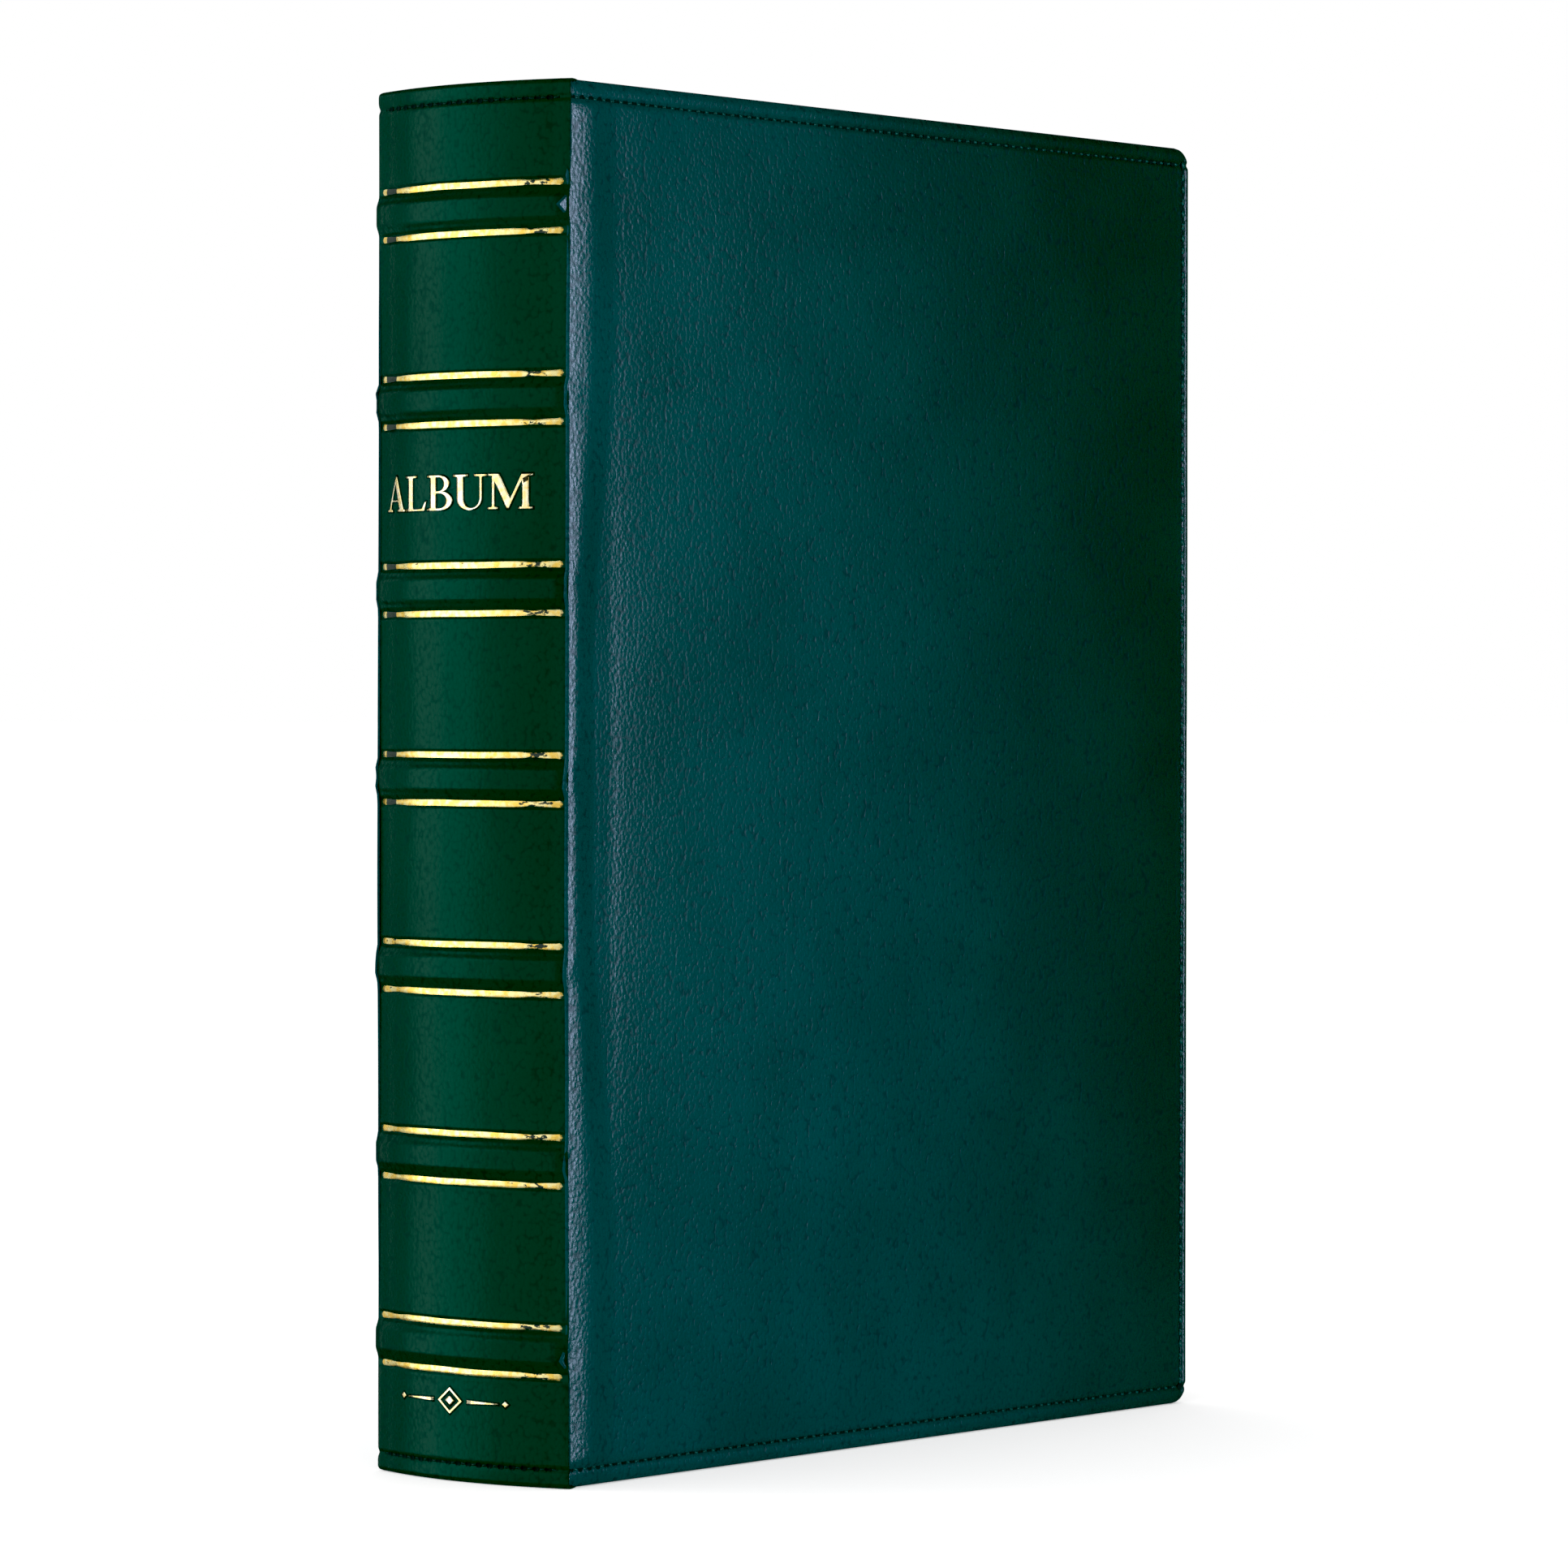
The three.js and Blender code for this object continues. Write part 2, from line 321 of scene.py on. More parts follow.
class Finish:
    """A material, or another node tree, with one method that adds any node."""

    def __init__(self, name, tree=None):
        if tree is None:
            self.material = bpy.data.materials.new(name)
            self.material.use_nodes = True
            tree = self.material.node_tree
        self.tree = tree
        self.shader = tree.nodes.get("Principled BSDF")

    def connect(self, target, value):
        if isinstance(value, Socket):
            self.tree.links.new(value.output, target)
        else:
            target.default_value = value

    def node(self, kind, settings=None, sockets=None, output=0):
        made = self.tree.nodes.new("ShaderNode" + kind)
        for key, value in (settings or {}).items():
            if key == "stops":
                for place, colour in value[1:-1]:
                    made.color_ramp.elements.new(place)
                for element, (place, colour) in zip(made.color_ramp.elements, value):
                    element.position = place
                    element.color = colour
            else:
                setattr(made, key, value)
        for key, value in (sockets or {}).items():
            self.connect(made.inputs[key], value)
        return Socket(self, made.outputs[output])

    def place(self, scale=(1, 1, 1)):
        here = self.node("TexCoord", output="Object")
        return self.node("Mapping", {}, {"Vector": here, "Scale": scale})

    def noise(self, scale, detail=2, roughness=0.5, vector=None):
        return self.node("TexNoise", {}, {
            "Vector": vector or self.place(), "Scale": scale, "Detail": detail,
            "Roughness": roughness,
        })

    def along(self, axis):
        """Distance along an axis of the object: 0 is x, 1 is y and 2 is z."""
        return self.node("SeparateXYZ", {}, {0: self.place()}, output=axis)

    def wave(self, direction, scale, distortion=0.0):
        return self.node("TexWave", {"bands_direction": direction}, {
            "Vector": self.place(), "Scale": scale, "Distortion": distortion,
        })

    def mix(self, factor, a, b):
        return self.node("Mix", {"data_type": "RGBA"}, {0: factor, 6: a, 7: b}, output=2)

    def between(self, value, low, high, to_low=0.0, to_high=1.0):
        return self.node("MapRange", {"interpolation_type": "SMOOTHSTEP"}, {
            "Value": value, "From Min": low, "From Max": high, "To Min": to_low,
            "To Max": to_high,
        })

    def bump(self, height, distance, strength=1.0):
        return self.node("Bump", {}, {
            "Height": height, "Distance": distance, "Strength": strength,
        })

    def surface(self, **sockets):
        for key, value in sockets.items():
            self.connect(self.shader.inputs[key.replace("_", " ")], value)
        return self.material


def linear(red, green, blue):
    """The shader's colour for a screen colour of 0 to 255."""
    def channel(value):
        share = value / 255
        return share / 12.92 if share <= 0.04045 else ((share + 0.055) / 1.055) ** 2.4
    return (channel(red), channel(green), channel(blue), 1)


# %% [markdown]
# ### Leatherette
#
# The skin is embossed PVC on cloth. Up close its grain is a field of small, uneven pebbles, a
# little longer up and down than across, with a few long creases where the sheet was stretched.
# The pebbles are Voronoi cells whose place is shaken by noise, so that no two are alike, and
# they go into a Bump node: they are a tenth of a millimetre high, too fine for geometry. The
# tops of the pebbles are rubbed a little smoother than the valleys, which gives the sheen its
# sparkle. On the covers a painted sheen turns the colour a little bluer towards the spine and
# the foot: it stands for the glow of bluish light there.

# %% Leatherette finish
def leatherette(name, deep, light, grain, tint, gloss, painted_sheen_colours=None):
    """Embossed skin. The last two colours are a painted sheen, bluer towards spine and foot."""
    finish = Finish(name)
    spot = finish.place((1, 1, 0.9))
    shake = finish.node("TexNoise", {}, {"Vector": spot, "Scale": 700, "Detail": 3}, output=1)
    shift = finish.node("VectorMath", {"operation": "SCALE"}, {0: shake, "Scale": 0.0007})
    shaken = finish.node("VectorMath", {"operation": "ADD"}, {0: spot, 1: shift})
    cells = finish.node("TexVoronoi", {"feature": "F1"}, {"Vector": shaken, "Scale": 960})
    pebble = 1 - cells ** 1.4
    crumb = finish.noise(1700, 3, 0.6, spot)
    crease = finish.noise(210, 4, 0.6, finish.place((1.6, 1.6, 0.2)))
    long_crease = finish.between(crease, 0.42, 0.5) * (1 - finish.between(crease, 0.5, 0.58))
    height = pebble * 0.7 + crumb * 0.45 - long_crease * 0.08
    cloud = finish.noise(26, 3, 0.55)
    clouded = finish.between(cloud, 0.3, 0.7)
    colour = finish.mix(clouded, deep, light)
    # a painted sheen: the glow of bluish light, strongest towards the spine and the foot
    if painted_sheen_colours:
        slope = finish.along(0) + finish.along(2) * 0.25
        painted_sheen_mask = finish.between(slope, 0.169, -0.021)
        colour = finish.mix(painted_sheen_mask, colour, finish.mix(clouded, *painted_sheen_colours))
    # painted shade: the valleys between the pebbles are painted darker
    shade = finish.between(pebble, 0.1, 0.6)
    colour = finish.mix(shade, finish.mix(0.4, colour, (0, 0, 0, 1)), colour)
    rough = finish.between(pebble + crumb * 0.3, 0.4, 1.0, 0.34, 0.24)
    # tint colours the reflections: it stands in for the colour of the studio's lights, a painted
    # light colour, lavender on the covers and green on the spine
    return finish.surface(
        Base_Color=colour,
        Roughness=rough,
        Normal=finish.bump(height, 0.2 * mm * grain),
        Specular_IOR_Level=gloss,
        Specular_Tint=tint,
    )


# the cover's skin carries a painted sheen of bluish light in its last two colours
cover_skin_painted_sheen_finish = leatherette("cover_leatherette", linear(0, 43, 23), linear(0, 49, 30), 0.54,
                                (0.58, 0.64, 1.0, 1), 0.42,
                                painted_sheen_colours=(linear(0, 63, 62), linear(0, 70, 71)))
spine_skin_finish = leatherette("spine_leatherette", linear(0, 40, 22), linear(0, 45, 27), 0.2,
                                (0.1, 1.0, 0.7, 1), 0.14)
# painted shade: a darker copy of the skin for the rims pressed round the title and ornament
pressed_shade_finish = leatherette("pressed_rim_painted_shade", linear(0, 20, 11), linear(0, 25, 14), 0.1,
                             (0.2, 1.0, 0.8, 1), 0.2)

# %% [markdown]
# ### Gold foil
#
# The foil is a film of metal, hot-pressed into the skin. It is bright where the die pressed
# well and worn through to the green where it didn't, mostly near the ends of the lines. Wear is
# a noise mask that mixes metal and skin in one shader: where the mask is dark the surface is
# neither gold nor metallic.

# %% Gold foil finish
def gold_foil(name, wear_from, wear_to, end_wear, deep, light):
    finish = Finish(name)
    run = finish.node("Attribute", {"attribute_name": "run"}, output="Fac")
    patch = finish.noise(900, 3, 0.65, finish.place((1, 0.35, 1)))
    height = finish.along(2)
    gap = finish.between(run, 0.745, 0.775) * (1 - finish.between(run, 0.905, 0.92))
    rubbed = finish.between(run, -0.58, -0.7) * (1 - finish.between(run, -0.84, -0.92))
    left = patch - gap * finish.between(height, 0.1, 0.17, 0.1, 0.5) * end_wear
    left = left - rubbed * 0.2 * end_wear
    gold = finish.between(left, wear_from, wear_to)
    tone = finish.mix(finish.between(finish.noise(600, 2), 0.35, 0.65), deep, light)
    return finish.surface(
        Base_Color=finish.mix(gold, linear(10, 30, 8), tone),
        Metallic=gold,
        Roughness=finish.between(patch, 0.3, 0.7, 0.34, 0.24),
        Normal=finish.bump(patch, 0.05 * mm, 0.5),
    )


line_foil = gold_foil("line_foil", 0.26, 0.3, 1.0, linear(255, 214, 100), linear(255, 242, 172))
title_foil = gold_foil("title_foil", 0.2, 0.24, 0.0, linear(255, 226, 146),
                       linear(255, 248, 212))

# %% [markdown]
# ### Thread, papers, boards and cloth
#
# The quieter finishes share a few recipes. Paper and board are short fibres: stretched noise for
# the fibre, a second noise for clouds. Cloth is two sets of threads crossing, so it is two wave
# patterns. Film and glassine let light through, which is their Alpha.

# %% Other finishes
def fibre(name, dark, light, scale, rough, height, stretch=(1, 1, 4)):
    finish = Finish(name)
    strands = finish.noise(scale, 4, 0.65, finish.place(stretch))
    cloud = finish.noise(scale / 22, 3)
    colour = finish.mix(finish.between(strands * 0.6 + cloud * 0.4, 0.35, 0.65), dark, light)
    return finish.surface(
        Base_Color=colour,
        Roughness=finish.between(strands, 0.3, 0.7, rough, rough - 0.12),
        Normal=finish.bump(strands, height),
    )


WAVE_RUN = 0.314                           # how far one wave runs at a scale of 1, in metres


def woven(name, dark, light, pitch, rough=0.85):
    finish = Finish(name)
    warp = finish.wave("Y", WAVE_RUN / pitch, 1.0)
    weft = finish.wave("Z", WAVE_RUN / pitch, 1.0)
    weave = finish.node("Math", {"operation": "MAXIMUM"}, {0: warp, 1: weft})
    fuzz = finish.noise(3000, 2)
    return finish.surface(
        Base_Color=finish.mix(finish.between(weave * 0.8 + fuzz * 0.2, 0.3, 0.9), dark, light),
        Roughness=finish.between(fuzz, 0.3, 0.7, rough, rough - 0.1),
        Normal=finish.bump(weave, 0.08 * mm),
    )


def clear_film(name, tint, alpha, rough):
    finish = Finish(name)
    haze = finish.noise(60, 3, 0.6)
    return finish.surface(
        Base_Color=tint,
        Roughness=finish.between(haze, 0.35, 0.65, rough, rough + 0.14),
        Alpha=finish.between(haze, 0.3, 0.7, alpha, alpha + 0.08),
        Normal=finish.bump(haze, 0.1 * mm),
    )


def twisted_thread(name, dark, light):
    finish = Finish(name)
    ply = finish.wave("DIAGONAL", 520, 1.5)
    return finish.surface(
        Base_Color=finish.mix(ply, dark, light),
        Roughness=finish.between(ply, 0, 1, 0.6, 0.45),
        Normal=finish.bump(ply, 0.06 * mm),
        Specular_IOR_Level=0.25,
    )


board_finish = fibre("greyboard", linear(112, 104, 92), linear(158, 149, 133), 900, 0.92, 0.1 * mm)
card_strip_finish = fibre("band_card", linear(170, 145, 100), linear(202, 178, 132), 700, 0.88,
                          0.06 * mm)
lining_finish = fibre("lining_paper", linear(14, 50, 40), linear(24, 66, 53), 1300, 0.8,
                      0.03 * mm, (4, 1, 0.5))
guard_finish = fibre("guard_board", linear(20, 20, 22), linear(40, 40, 43), 800, 0.86, 0.06 * mm)
black_card_finish = fibre("black_card", linear(18, 18, 20), linear(34, 34, 37), 1500, 0.72,
                          0.04 * mm, (1, 1, 1))
foam_finish = fibre("foam", linear(196, 186, 158), linear(232, 224, 202), 1100, 0.96, 0.3 * mm,
                    (1, 1, 1))
mull_finish = woven("binding_cloth", linear(170, 160, 136), linear(222, 214, 194), 0.9 * mm)
linen_finish = woven("leaf_linen", linear(14, 14, 15), linear(44, 44, 47), 0.45 * mm)
film_finish = clear_film("strip_film", linear(226, 236, 240), 0.16, 0.08)
glassine_finish = clear_film("glassine", linear(226, 224, 212), 0.5, 0.4)
# one thread in two copies: on the covers painted lighter, a painted highlight where the stitches
# catch light, and on the spine painted darker, painted shade in its groove
painted_highlight_thread = twisted_thread("cover_stitches_painted_highlight", linear(0, 52, 44), linear(18, 88, 86))
painted_shade_thread = twisted_thread("spine_stitches_painted_shade", linear(0, 30, 20), linear(0, 46, 32))
# painted shade: the needle holes are near-black cups, the shade inside the holes
painted_hole_shade_finish = fibre("painted_shade_hole", linear(0, 4, 2), linear(0, 8, 5), 1500, 0.95, 0.02 * mm)

# %% [markdown]
# ### Dress the parts that stay
#
# Boards, foam, cards and leaves keep the engineering model's own solids, since their shape is
# already right. They only need a finish, which goes into the material slot of each object.

# %% Finishes on the carried-over parts
dress = {
    "spine_pad": foam_finish, "spine_board": board_finish, "spine_lining": lining_finish,
    "spine_mull": mull_finish, "guard_block": guard_finish,
    "front_board": board_finish, "back_board": board_finish,
}
dress.update({f"raised_band_{i}": card_strip_finish for i in range(1, BANDS + 1)})
dress.update({f"leaf_{i:02d}": black_card_finish for i in range(1, LEAVES + 1)})
for name, material in dress.items():
    slots = nodes[name].data.materials
    slots.clear()
    slots.append(material)
print("dressed", len(dress), "carried-over parts")


# %% Finish a new piece
pieces = []


def finish_piece(obj, material, body=None, blend=None, replaces=()):
    """Give a piece its material and slot, and fasten it to a body, or bake its place if blend."""
    obj.data.materials.clear()
    obj.data.materials.append(material)
    if blend:
        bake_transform(obj)
    else:
        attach(obj, body)
    if replaces:
        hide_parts(*replaces)
    pieces.append(obj)
    return obj


# %% [markdown]
# ## The spine's skin
#
# On the real case one sheet of leatherette is glued over the bowed spine board, pulled down
# beside seven card strips, and pressed with gold lines. Its section along the height is the
# same all the way round the bow, so the natural way to make it is a spin: draw the section as
# a string of extruded points, then turn it round the bow's axis. The alternative, a bent
# plane, would put its rows where the bands are not.

# %% The relief along the height
BAND_TOP = 1.7 * mm
BAND_FOOT = 4.6 * mm
LINE_GROOVE = 0.34 * mm
END_ROUND = 2.2 * mm                       # rolled edge of a cover
SPINE_ROUND = 1.3 * mm                     # rolled edge at head and foot of the spine


def band_relief(z):
    """How much of a band's rise there is at a height, 0 to 1, with soft shoulders."""
    return max(1 - soft_step(abs(z - band), BAND_TOP, BAND_FOOT) for band in band_heights)


def line_relief(z):
    """The pressed groove of a gold line, with the skin pushed up a little at its sides."""
    total = 0.0
    for line in line_heights:
        away = abs(z - line)
        if away < 4 * mm:
            total += -LINE_GROOVE * (1 - soft_step(away, 0.72 * mm, 1.15 * mm))
            total += 0.14 * mm * ridge(away - 1.55 * mm, 0.45 * mm)
    return total


ROW_GROOVE = 0.5 * mm                      # how deep the thread pulls the skin down
SPINE_ROW = 0.7                            # share of that on the spine


def row_relief(away):
    """The sewn groove at a distance from the middle of a sewing row."""
    return -ROW_GROOVE * ridge(away, 0.62 * mm)


def spine_relief(z, angle):
    edge = 1 - abs(angle) / crease_angle
    press = soft_step(edge, 0.015, 0.05)
    from_end = min(z, HEIGHT - z)
    relief = BAND_RISE * band_relief(z) * (0.55 + 0.45 * soft_step(edge, 0.0, 0.12))
    relief += line_relief(z) * press
    relief += SPINE_ROW * row_relief(from_end - ROW_INSET)
    relief += 0.08 * mm * (1 - soft_step(from_end, 2.4 * mm, 3.6 * mm))
    relief += 0.3 * mm * (1 - soft_step(edge, 0.0, 0.16))
    relief += 0.06 * mm * noise.noise(Vector((angle * 14, z * 40, 1.7)))
    return relief


# %% Spin the skin
row_heights = [ROW_INSET, HEIGHT - ROW_INSET]
features = [(z, 1.3 * mm) for z in line_heights] + [(z, BAND_FOOT) for z in band_heights]
features += [(z, 1.6 * mm) for z in row_heights] + [(0, 2 * mm), (HEIGHT, 2 * mm)]
heights = stations(SPINE_ROUND, HEIGHT - SPINE_ROUND, features, 0.34 * mm, 7 * mm)

turn_in = [(-4.6 * mm, 0.1 * mm), (-3.2 * mm, 0.0)]
quarter = [math.radians(90 * step / 6) for step in range(6)]
foot_round = [(-SPINE_ROUND + SPINE_ROUND * math.sin(a), SPINE_ROUND * (1 - math.cos(a)))
              for a in quarter]
foot = turn_in + foot_round
head = [(radius, HEIGHT - z) for radius, z in reversed(foot)]
section = foot + [(0.0, z) for z in heights] + head

spine_skin = start(bpy.ops.mesh.primitive_plane_add, "spine_skin", size=0.001)
edit(spine_skin)
choose(spine_skin, lambda place: place.x > 0 or place.y > 0)
bpy.ops.mesh.delete(type="VERT")


def section_point(radius, z):
    start = -crease_angle
    reach = SPINE_RADIUS + radius
    return Vector((bow_x - reach * math.cos(start), reach * math.sin(start), z))


points = [section_point(radius, z) for radius, z in section]
bpy.ops.mesh.select_all(action="SELECT")
bpy.ops.transform.translate(value=points[0] - bmesh.from_edit_mesh(spine_skin.data).verts[:][0].co)
for here, there in zip(points, points[1:]):
    bpy.ops.mesh.extrude_region_move(TRANSFORM_OT_translate={"value": there - here})
bpy.ops.mesh.select_all(action="SELECT")
bpy.ops.mesh.spin(steps=56, angle=2 * crease_angle, center=(bow_x, 0, 0), axis=(0, 0, 1))
bpy.ops.mesh.select_all(action="SELECT")
bpy.ops.mesh.remove_doubles(threshold=0.00001)
done(spine_skin)
print("spine skin: section of", len(points), "points,", len(spine_skin.data.polygons), "faces")


# %% Press the relief into it
def press_spine(place):
    arm = Vector((place.x - bow_x, place.y, 0))
    angle = math.asin(max(-1, min(1, place.y / arm.length)))
    share = soft_step(arm.length, SPINE_RADIUS - SPINE_ROUND, SPINE_RADIUS)
    return place + arm.normalized() * spine_relief(place.z, angle) * share


move_points(spine_skin, press_spine)
print("relief pressed for", BANDS, "bands and", LINES, "lines")
outward(spine_skin, lambda face: -face.normal.x * face.area)
modify(spine_skin, "SOLIDIFY", thickness=SKIN, offset=-1)
smooth(spine_skin, 50)
finish_piece(spine_skin, spine_skin_finish, "spine", replaces=["spine_leather"])

# %% [markdown]
# ## A cover's skin
#
# Each cover is a board with thin foam on it, and the skin is drawn over both and sewn round the
# edge. So it is a pillow: high in the middle, pulled down at the seams and in the joint beside
# the spine. The honest way to get that shape is to inflate it. A flat sheet is pinned along its
# seams, cloth simulation blows it up with a little pressure, and the swell is capped at what
# the foam allows. The sheet is made finer afterwards, and the seams, the joint and the rolled
# edge are shaped on it.

# %% The sheet that is blown up
JOINT_END = -100.9 * mm                    # where the board's edge lifts the skin
GROOVE_X = -103.2 * mm                     # bottom of the joint's groove
ROLL_END = -107.4 * mm                     # end of the round roll beside the crease
ROLL_RISE = 0.4 * mm                       # how far the roll stands proud of the cover's face
ROLL_DROP = FACE_Y + ROLL_RISE - crease_y  # how far the crease lies below the top of the roll

x_features = [(crease_x, 1 * mm), (ROLL_END, 1 * mm), (GROOVE_X, 3 * mm),
              (FORE_X - FORE_ROW_INSET, 2.9 * mm)]
z_features = [(z, 1.4 * mm) for z in row_heights] + [(0, 2.2 * mm), (HEIGHT, 2.2 * mm)]
x_places = stations(crease_x, FORE_X, x_features, 0.62 * mm, 6.5 * mm)
z_places = stations(0, HEIGHT, z_features, 0.7 * mm, 4.2 * mm)

sheet = start(bpy.ops.mesh.primitive_grid_add, "cover_sheet", size=1,
              x_subdivisions=len(x_places) - 1, y_subdivisions=len(z_places) - 1)


def round_corner(x, z):
    """Draw the square corners of the fore edge in to an arc."""
    a = (x - (FORE_X - FORE_CORNER)) / FORE_CORNER
    near = min(z, HEIGHT - z)
    b = (FORE_CORNER - near) / FORE_CORNER
    if a <= 0 or b <= 0:
        return x, z
    x = FORE_X - FORE_CORNER + FORE_CORNER * a * math.sqrt(1 - b * b / 2)
    drop = FORE_CORNER - FORE_CORNER * b * math.sqrt(1 - a * a / 2)
    return x, drop if z < HEIGHT / 2 else HEIGHT - drop


def lay_out(place):
    column = round((place.x + 0.5) * (len(x_places) - 1))
    row = round((place.y + 0.5) * (len(z_places) - 1))
    x, z = round_corner(x_places[column], z_places[row])
    return Vector((x, 0, z))


move_points(sheet, lay_out)
print("cover sheet:", len(x_places), "by", len(z_places), "places")


# %% [markdown]
# Distances from the edges decide everything on a cover, so one function answers them: how far a
# point is from the fore edge and from head or foot, with the rounded corner taken into account.

# %% Where a point is on the cover
def edge_distance(x, z):
    near = min(z, HEIGHT - z)
    a = x - (FORE_X - FORE_CORNER)
    b = FORE_CORNER - near
    if a > 0 and b > 0:
        return FORE_CORNER - math.hypot(a, b)
    return min(FORE_X - x, near)


def pad_margin(x, z):
    """Distance inwards from the nearest seam of the padded field."""
    return min(FORE_X - x - FORE_ROW_INSET, min(z, HEIGHT - z) - ROW_INSET, x - JOINT_END)


# %% Blow it up
CLOTH_FRAMES = 16


def inflate(obj):
    """Pressure on a pinned sheet. Returns how far each vertex rose."""
    group = obj.vertex_groups.new(name="pinned")
    pinned = [v.index for v in obj.data.vertices if pad_margin(v.co.x, v.co.z) <= 0.2 * mm]
    group.add(pinned, 1.0, "REPLACE")
    cloth = obj.modifiers.new("cloth", "CLOTH")
    cloth.settings.vertex_group_mass = "pinned"
    cloth.settings.quality = 5
    cloth.settings.mass = 0.25
    cloth.settings.tension_stiffness = 12
    cloth.settings.compression_stiffness = 12
    cloth.settings.bending_stiffness = 0.4
    cloth.settings.use_pressure = True
    cloth.settings.uniform_pressure_force = 4
    cloth.settings.effector_weights.gravity = 0
    cloth.collision_settings.use_collision = False
    cloth.point_cache.frame_start = 1
    cloth.point_cache.frame_end = CLOTH_FRAMES
    scene = bpy.context.scene
    for step in range(1, CLOTH_FRAMES + 1):
        scene.frame_set(step)
    pick(obj)
    bpy.ops.object.modifier_apply(modifier=cloth.name)
    scene.frame_set(1)
    return [abs(v.co.y) for v in obj.data.vertices]


flat_places = [v.co.copy() for v in sheet.data.vertices]
raw = inflate(sheet)
highest = max(raw)
swell = [PAD_DROP * math.tanh(3.6 * rise / highest) for rise in raw]
for vertex, place, rise in zip(sheet.data.vertices, flat_places, swell):
    eased = soft_step(place.x, JOINT_END, JOINT_END + 5 * mm)
    vertex.co = Vector((place.x, -rise * eased, place.z))
print("swell: highest", round(max(swell) * 1000, 2), "mm")

# %% [markdown]
# The sheet is now subdivided once, and the fine shapes are laid on it by place: the sharp
# crease at the spine, the round roll beside it, the groove where the cover bends, the sewn
# rows, and the bead round the edge. The crease isn't straight: where a band ends under it the
# skin is pinched out a little, as on every case made this way.

# %% Shape the front skin
modify(sheet, "SUBSURF", levels=1, render_levels=1, boundary_smooth="PRESERVE_CORNERS")

CREASE_ROUND = 0.45 * mm


def toward_end(z):
    """0 along the middle of the height, 1 near head and foot."""
    return soft_step(abs(2 * z / HEIGHT - 1), 0.15, 0.7)


def roll_end(z):
    """The roll beside the crease is narrow at mid height and wider towards head and foot."""
    return ROLL_END - 2.4 * mm + 4.2 * mm * toward_end(z)


def joint_depth(x, z, swell):
    """Depth of the skin below the cover's face: the roll, the groove and the swell of the pad."""
    end = roll_end(z)
    share = min(max((x - crease_x) / (end - crease_x), 0), 1)
    rise = ROLL_RISE + 0.2 * mm * toward_end(z)
    roll = (ROLL_DROP - ROLL_RISE + rise) * (1 - share) ** 2 - rise
    past = soft_step(x, end - 2 * mm - 1 * mm * toward_end(z), end + (5.5 + 3 * toward_end(z)) * mm)
    filled = 0.8 * toward_end(z) * (1 - soft_step(x, JOINT_END + 10 * mm, JOINT_END + 30 * mm))
    return roll + rise * past + (PAD_DROP * past - swell) * (1 - filled)


def crease_round(x):
    """Depth lost to the round of the crease itself."""
    along = x - crease_x
    if along >= CREASE_ROUND:
        return 0.0
    return CREASE_ROUND - math.sqrt(max(CREASE_ROUND ** 2 - (CREASE_ROUND - along) ** 2, 0))


def bead(distance):
    """Depth lost to the rounded edge, at a distance from it."""
    if distance >= END_ROUND:
        return 0.0
    return END_ROUND - math.sqrt(max(END_ROUND ** 2 - (END_ROUND - distance) ** 2, 0))


# folds of skin caught beside the end bands: (height, how far each reaches over the spine)
TUCKS = [(band_heights[0] + 0.4 * mm, 2.6 * mm), (band_heights[0] + 6.8 * mm, 0.7 * mm),
         (band_heights[-1] - 1.2 * mm, 1.5 * mm)]
TUCK_WAY = Vector((-1, 0.28, 0))


def crease_wander(z):
    """How far the crease stands out, at the bands and by the hand of the maker."""
    pinch = 0.55 * BAND_RISE * band_relief(z)
    nick = 0.5 * mm * noise.noise(Vector((z * 260, 0.3, 5.1))) * band_relief(z)
    wave = 0.3 * mm * noise.noise(Vector((z * 26, 4.2, 0.6)))
    lip = 1.1 * mm * (1 - (2 * z / HEIGHT - 1) ** 2)
    return pinch + nick + wave + lip


def tuck(place):
    """Draw out a small fold of skin, so that it lies over the edge of the spine."""
    near = 1 - soft_step(place.x, crease_x, crease_x + 4 * mm)
    reach = sum(size * ridge(place.z - height, 1.3 * mm) for height, size in TUCKS)
    return place + TUCK_WAY * reach * near


def skin_place(place):
    x, z, rise = place.x, place.z, -place.y
    end = min(z, HEIGHT - z)
    seam = soft_step(edge_distance(x, z), 1.5 * mm, 7 * mm)
    depth = joint_depth(x, z, rise) * seam + (1 - seam) * 0.5 * mm
    depth -= row_relief(end - ROW_INSET)
    depth -= row_relief(FORE_X - FORE_ROW_INSET - x) * soft_step(end, 2 * mm, 4 * mm)
    depth += bead(edge_distance(x, z)) + crease_round(x)
    depth += 0.1 * mm * noise.noise(Vector((x * 22, z * 22, 2.2)))
    near_crease = 1 - soft_step(x, crease_x, crease_x + 7 * mm)
    pinch = band_relief(z) * near_crease
    depth += 0.5 * mm * pinch * noise.noise(Vector((x * 300, z * 420, 8.8)))
    return Vector((x - crease_wander(z) * near_crease, -FACE_Y + depth, z))


sheet.name = "front_skin"
front_skin = move_points(sheet, skin_place)
outward(front_skin, lambda face: -face.normal.y * face.area)


# %% [markdown]
# The edge goes on past the bead: down the board's side, round its inner corner, and 12 mm in
# over the inside, where the end paper will cover it. Each step is an extrusion of the open rim
# on three sides, drawn in towards the middle of the cover. The rim on the spine side stays
# where it is, since the spine's skin meets it.

# %% Turn the skin in over the board
def is_outer_rim(middle):
    """Whether an open edge is at the fore edge, head or foot, and not in the crease."""
    on_crease = middle.x < crease_x + 0.3 * mm and END_ROUND < middle.z < HEIGHT - END_ROUND
    on_end = min(middle.z, HEIGHT - middle.z) < 0.5 * mm
    return on_end or not on_crease


# how the rim goes round the board: (drawn in by, depth below the cover's face), in millimetres
TURN_STEPS = [(0.0, 3.2), (0.0, 4.3), (0.4, 5.1), (1.1, 5.52), (2.5, 5.62), (12.0, 5.62)]


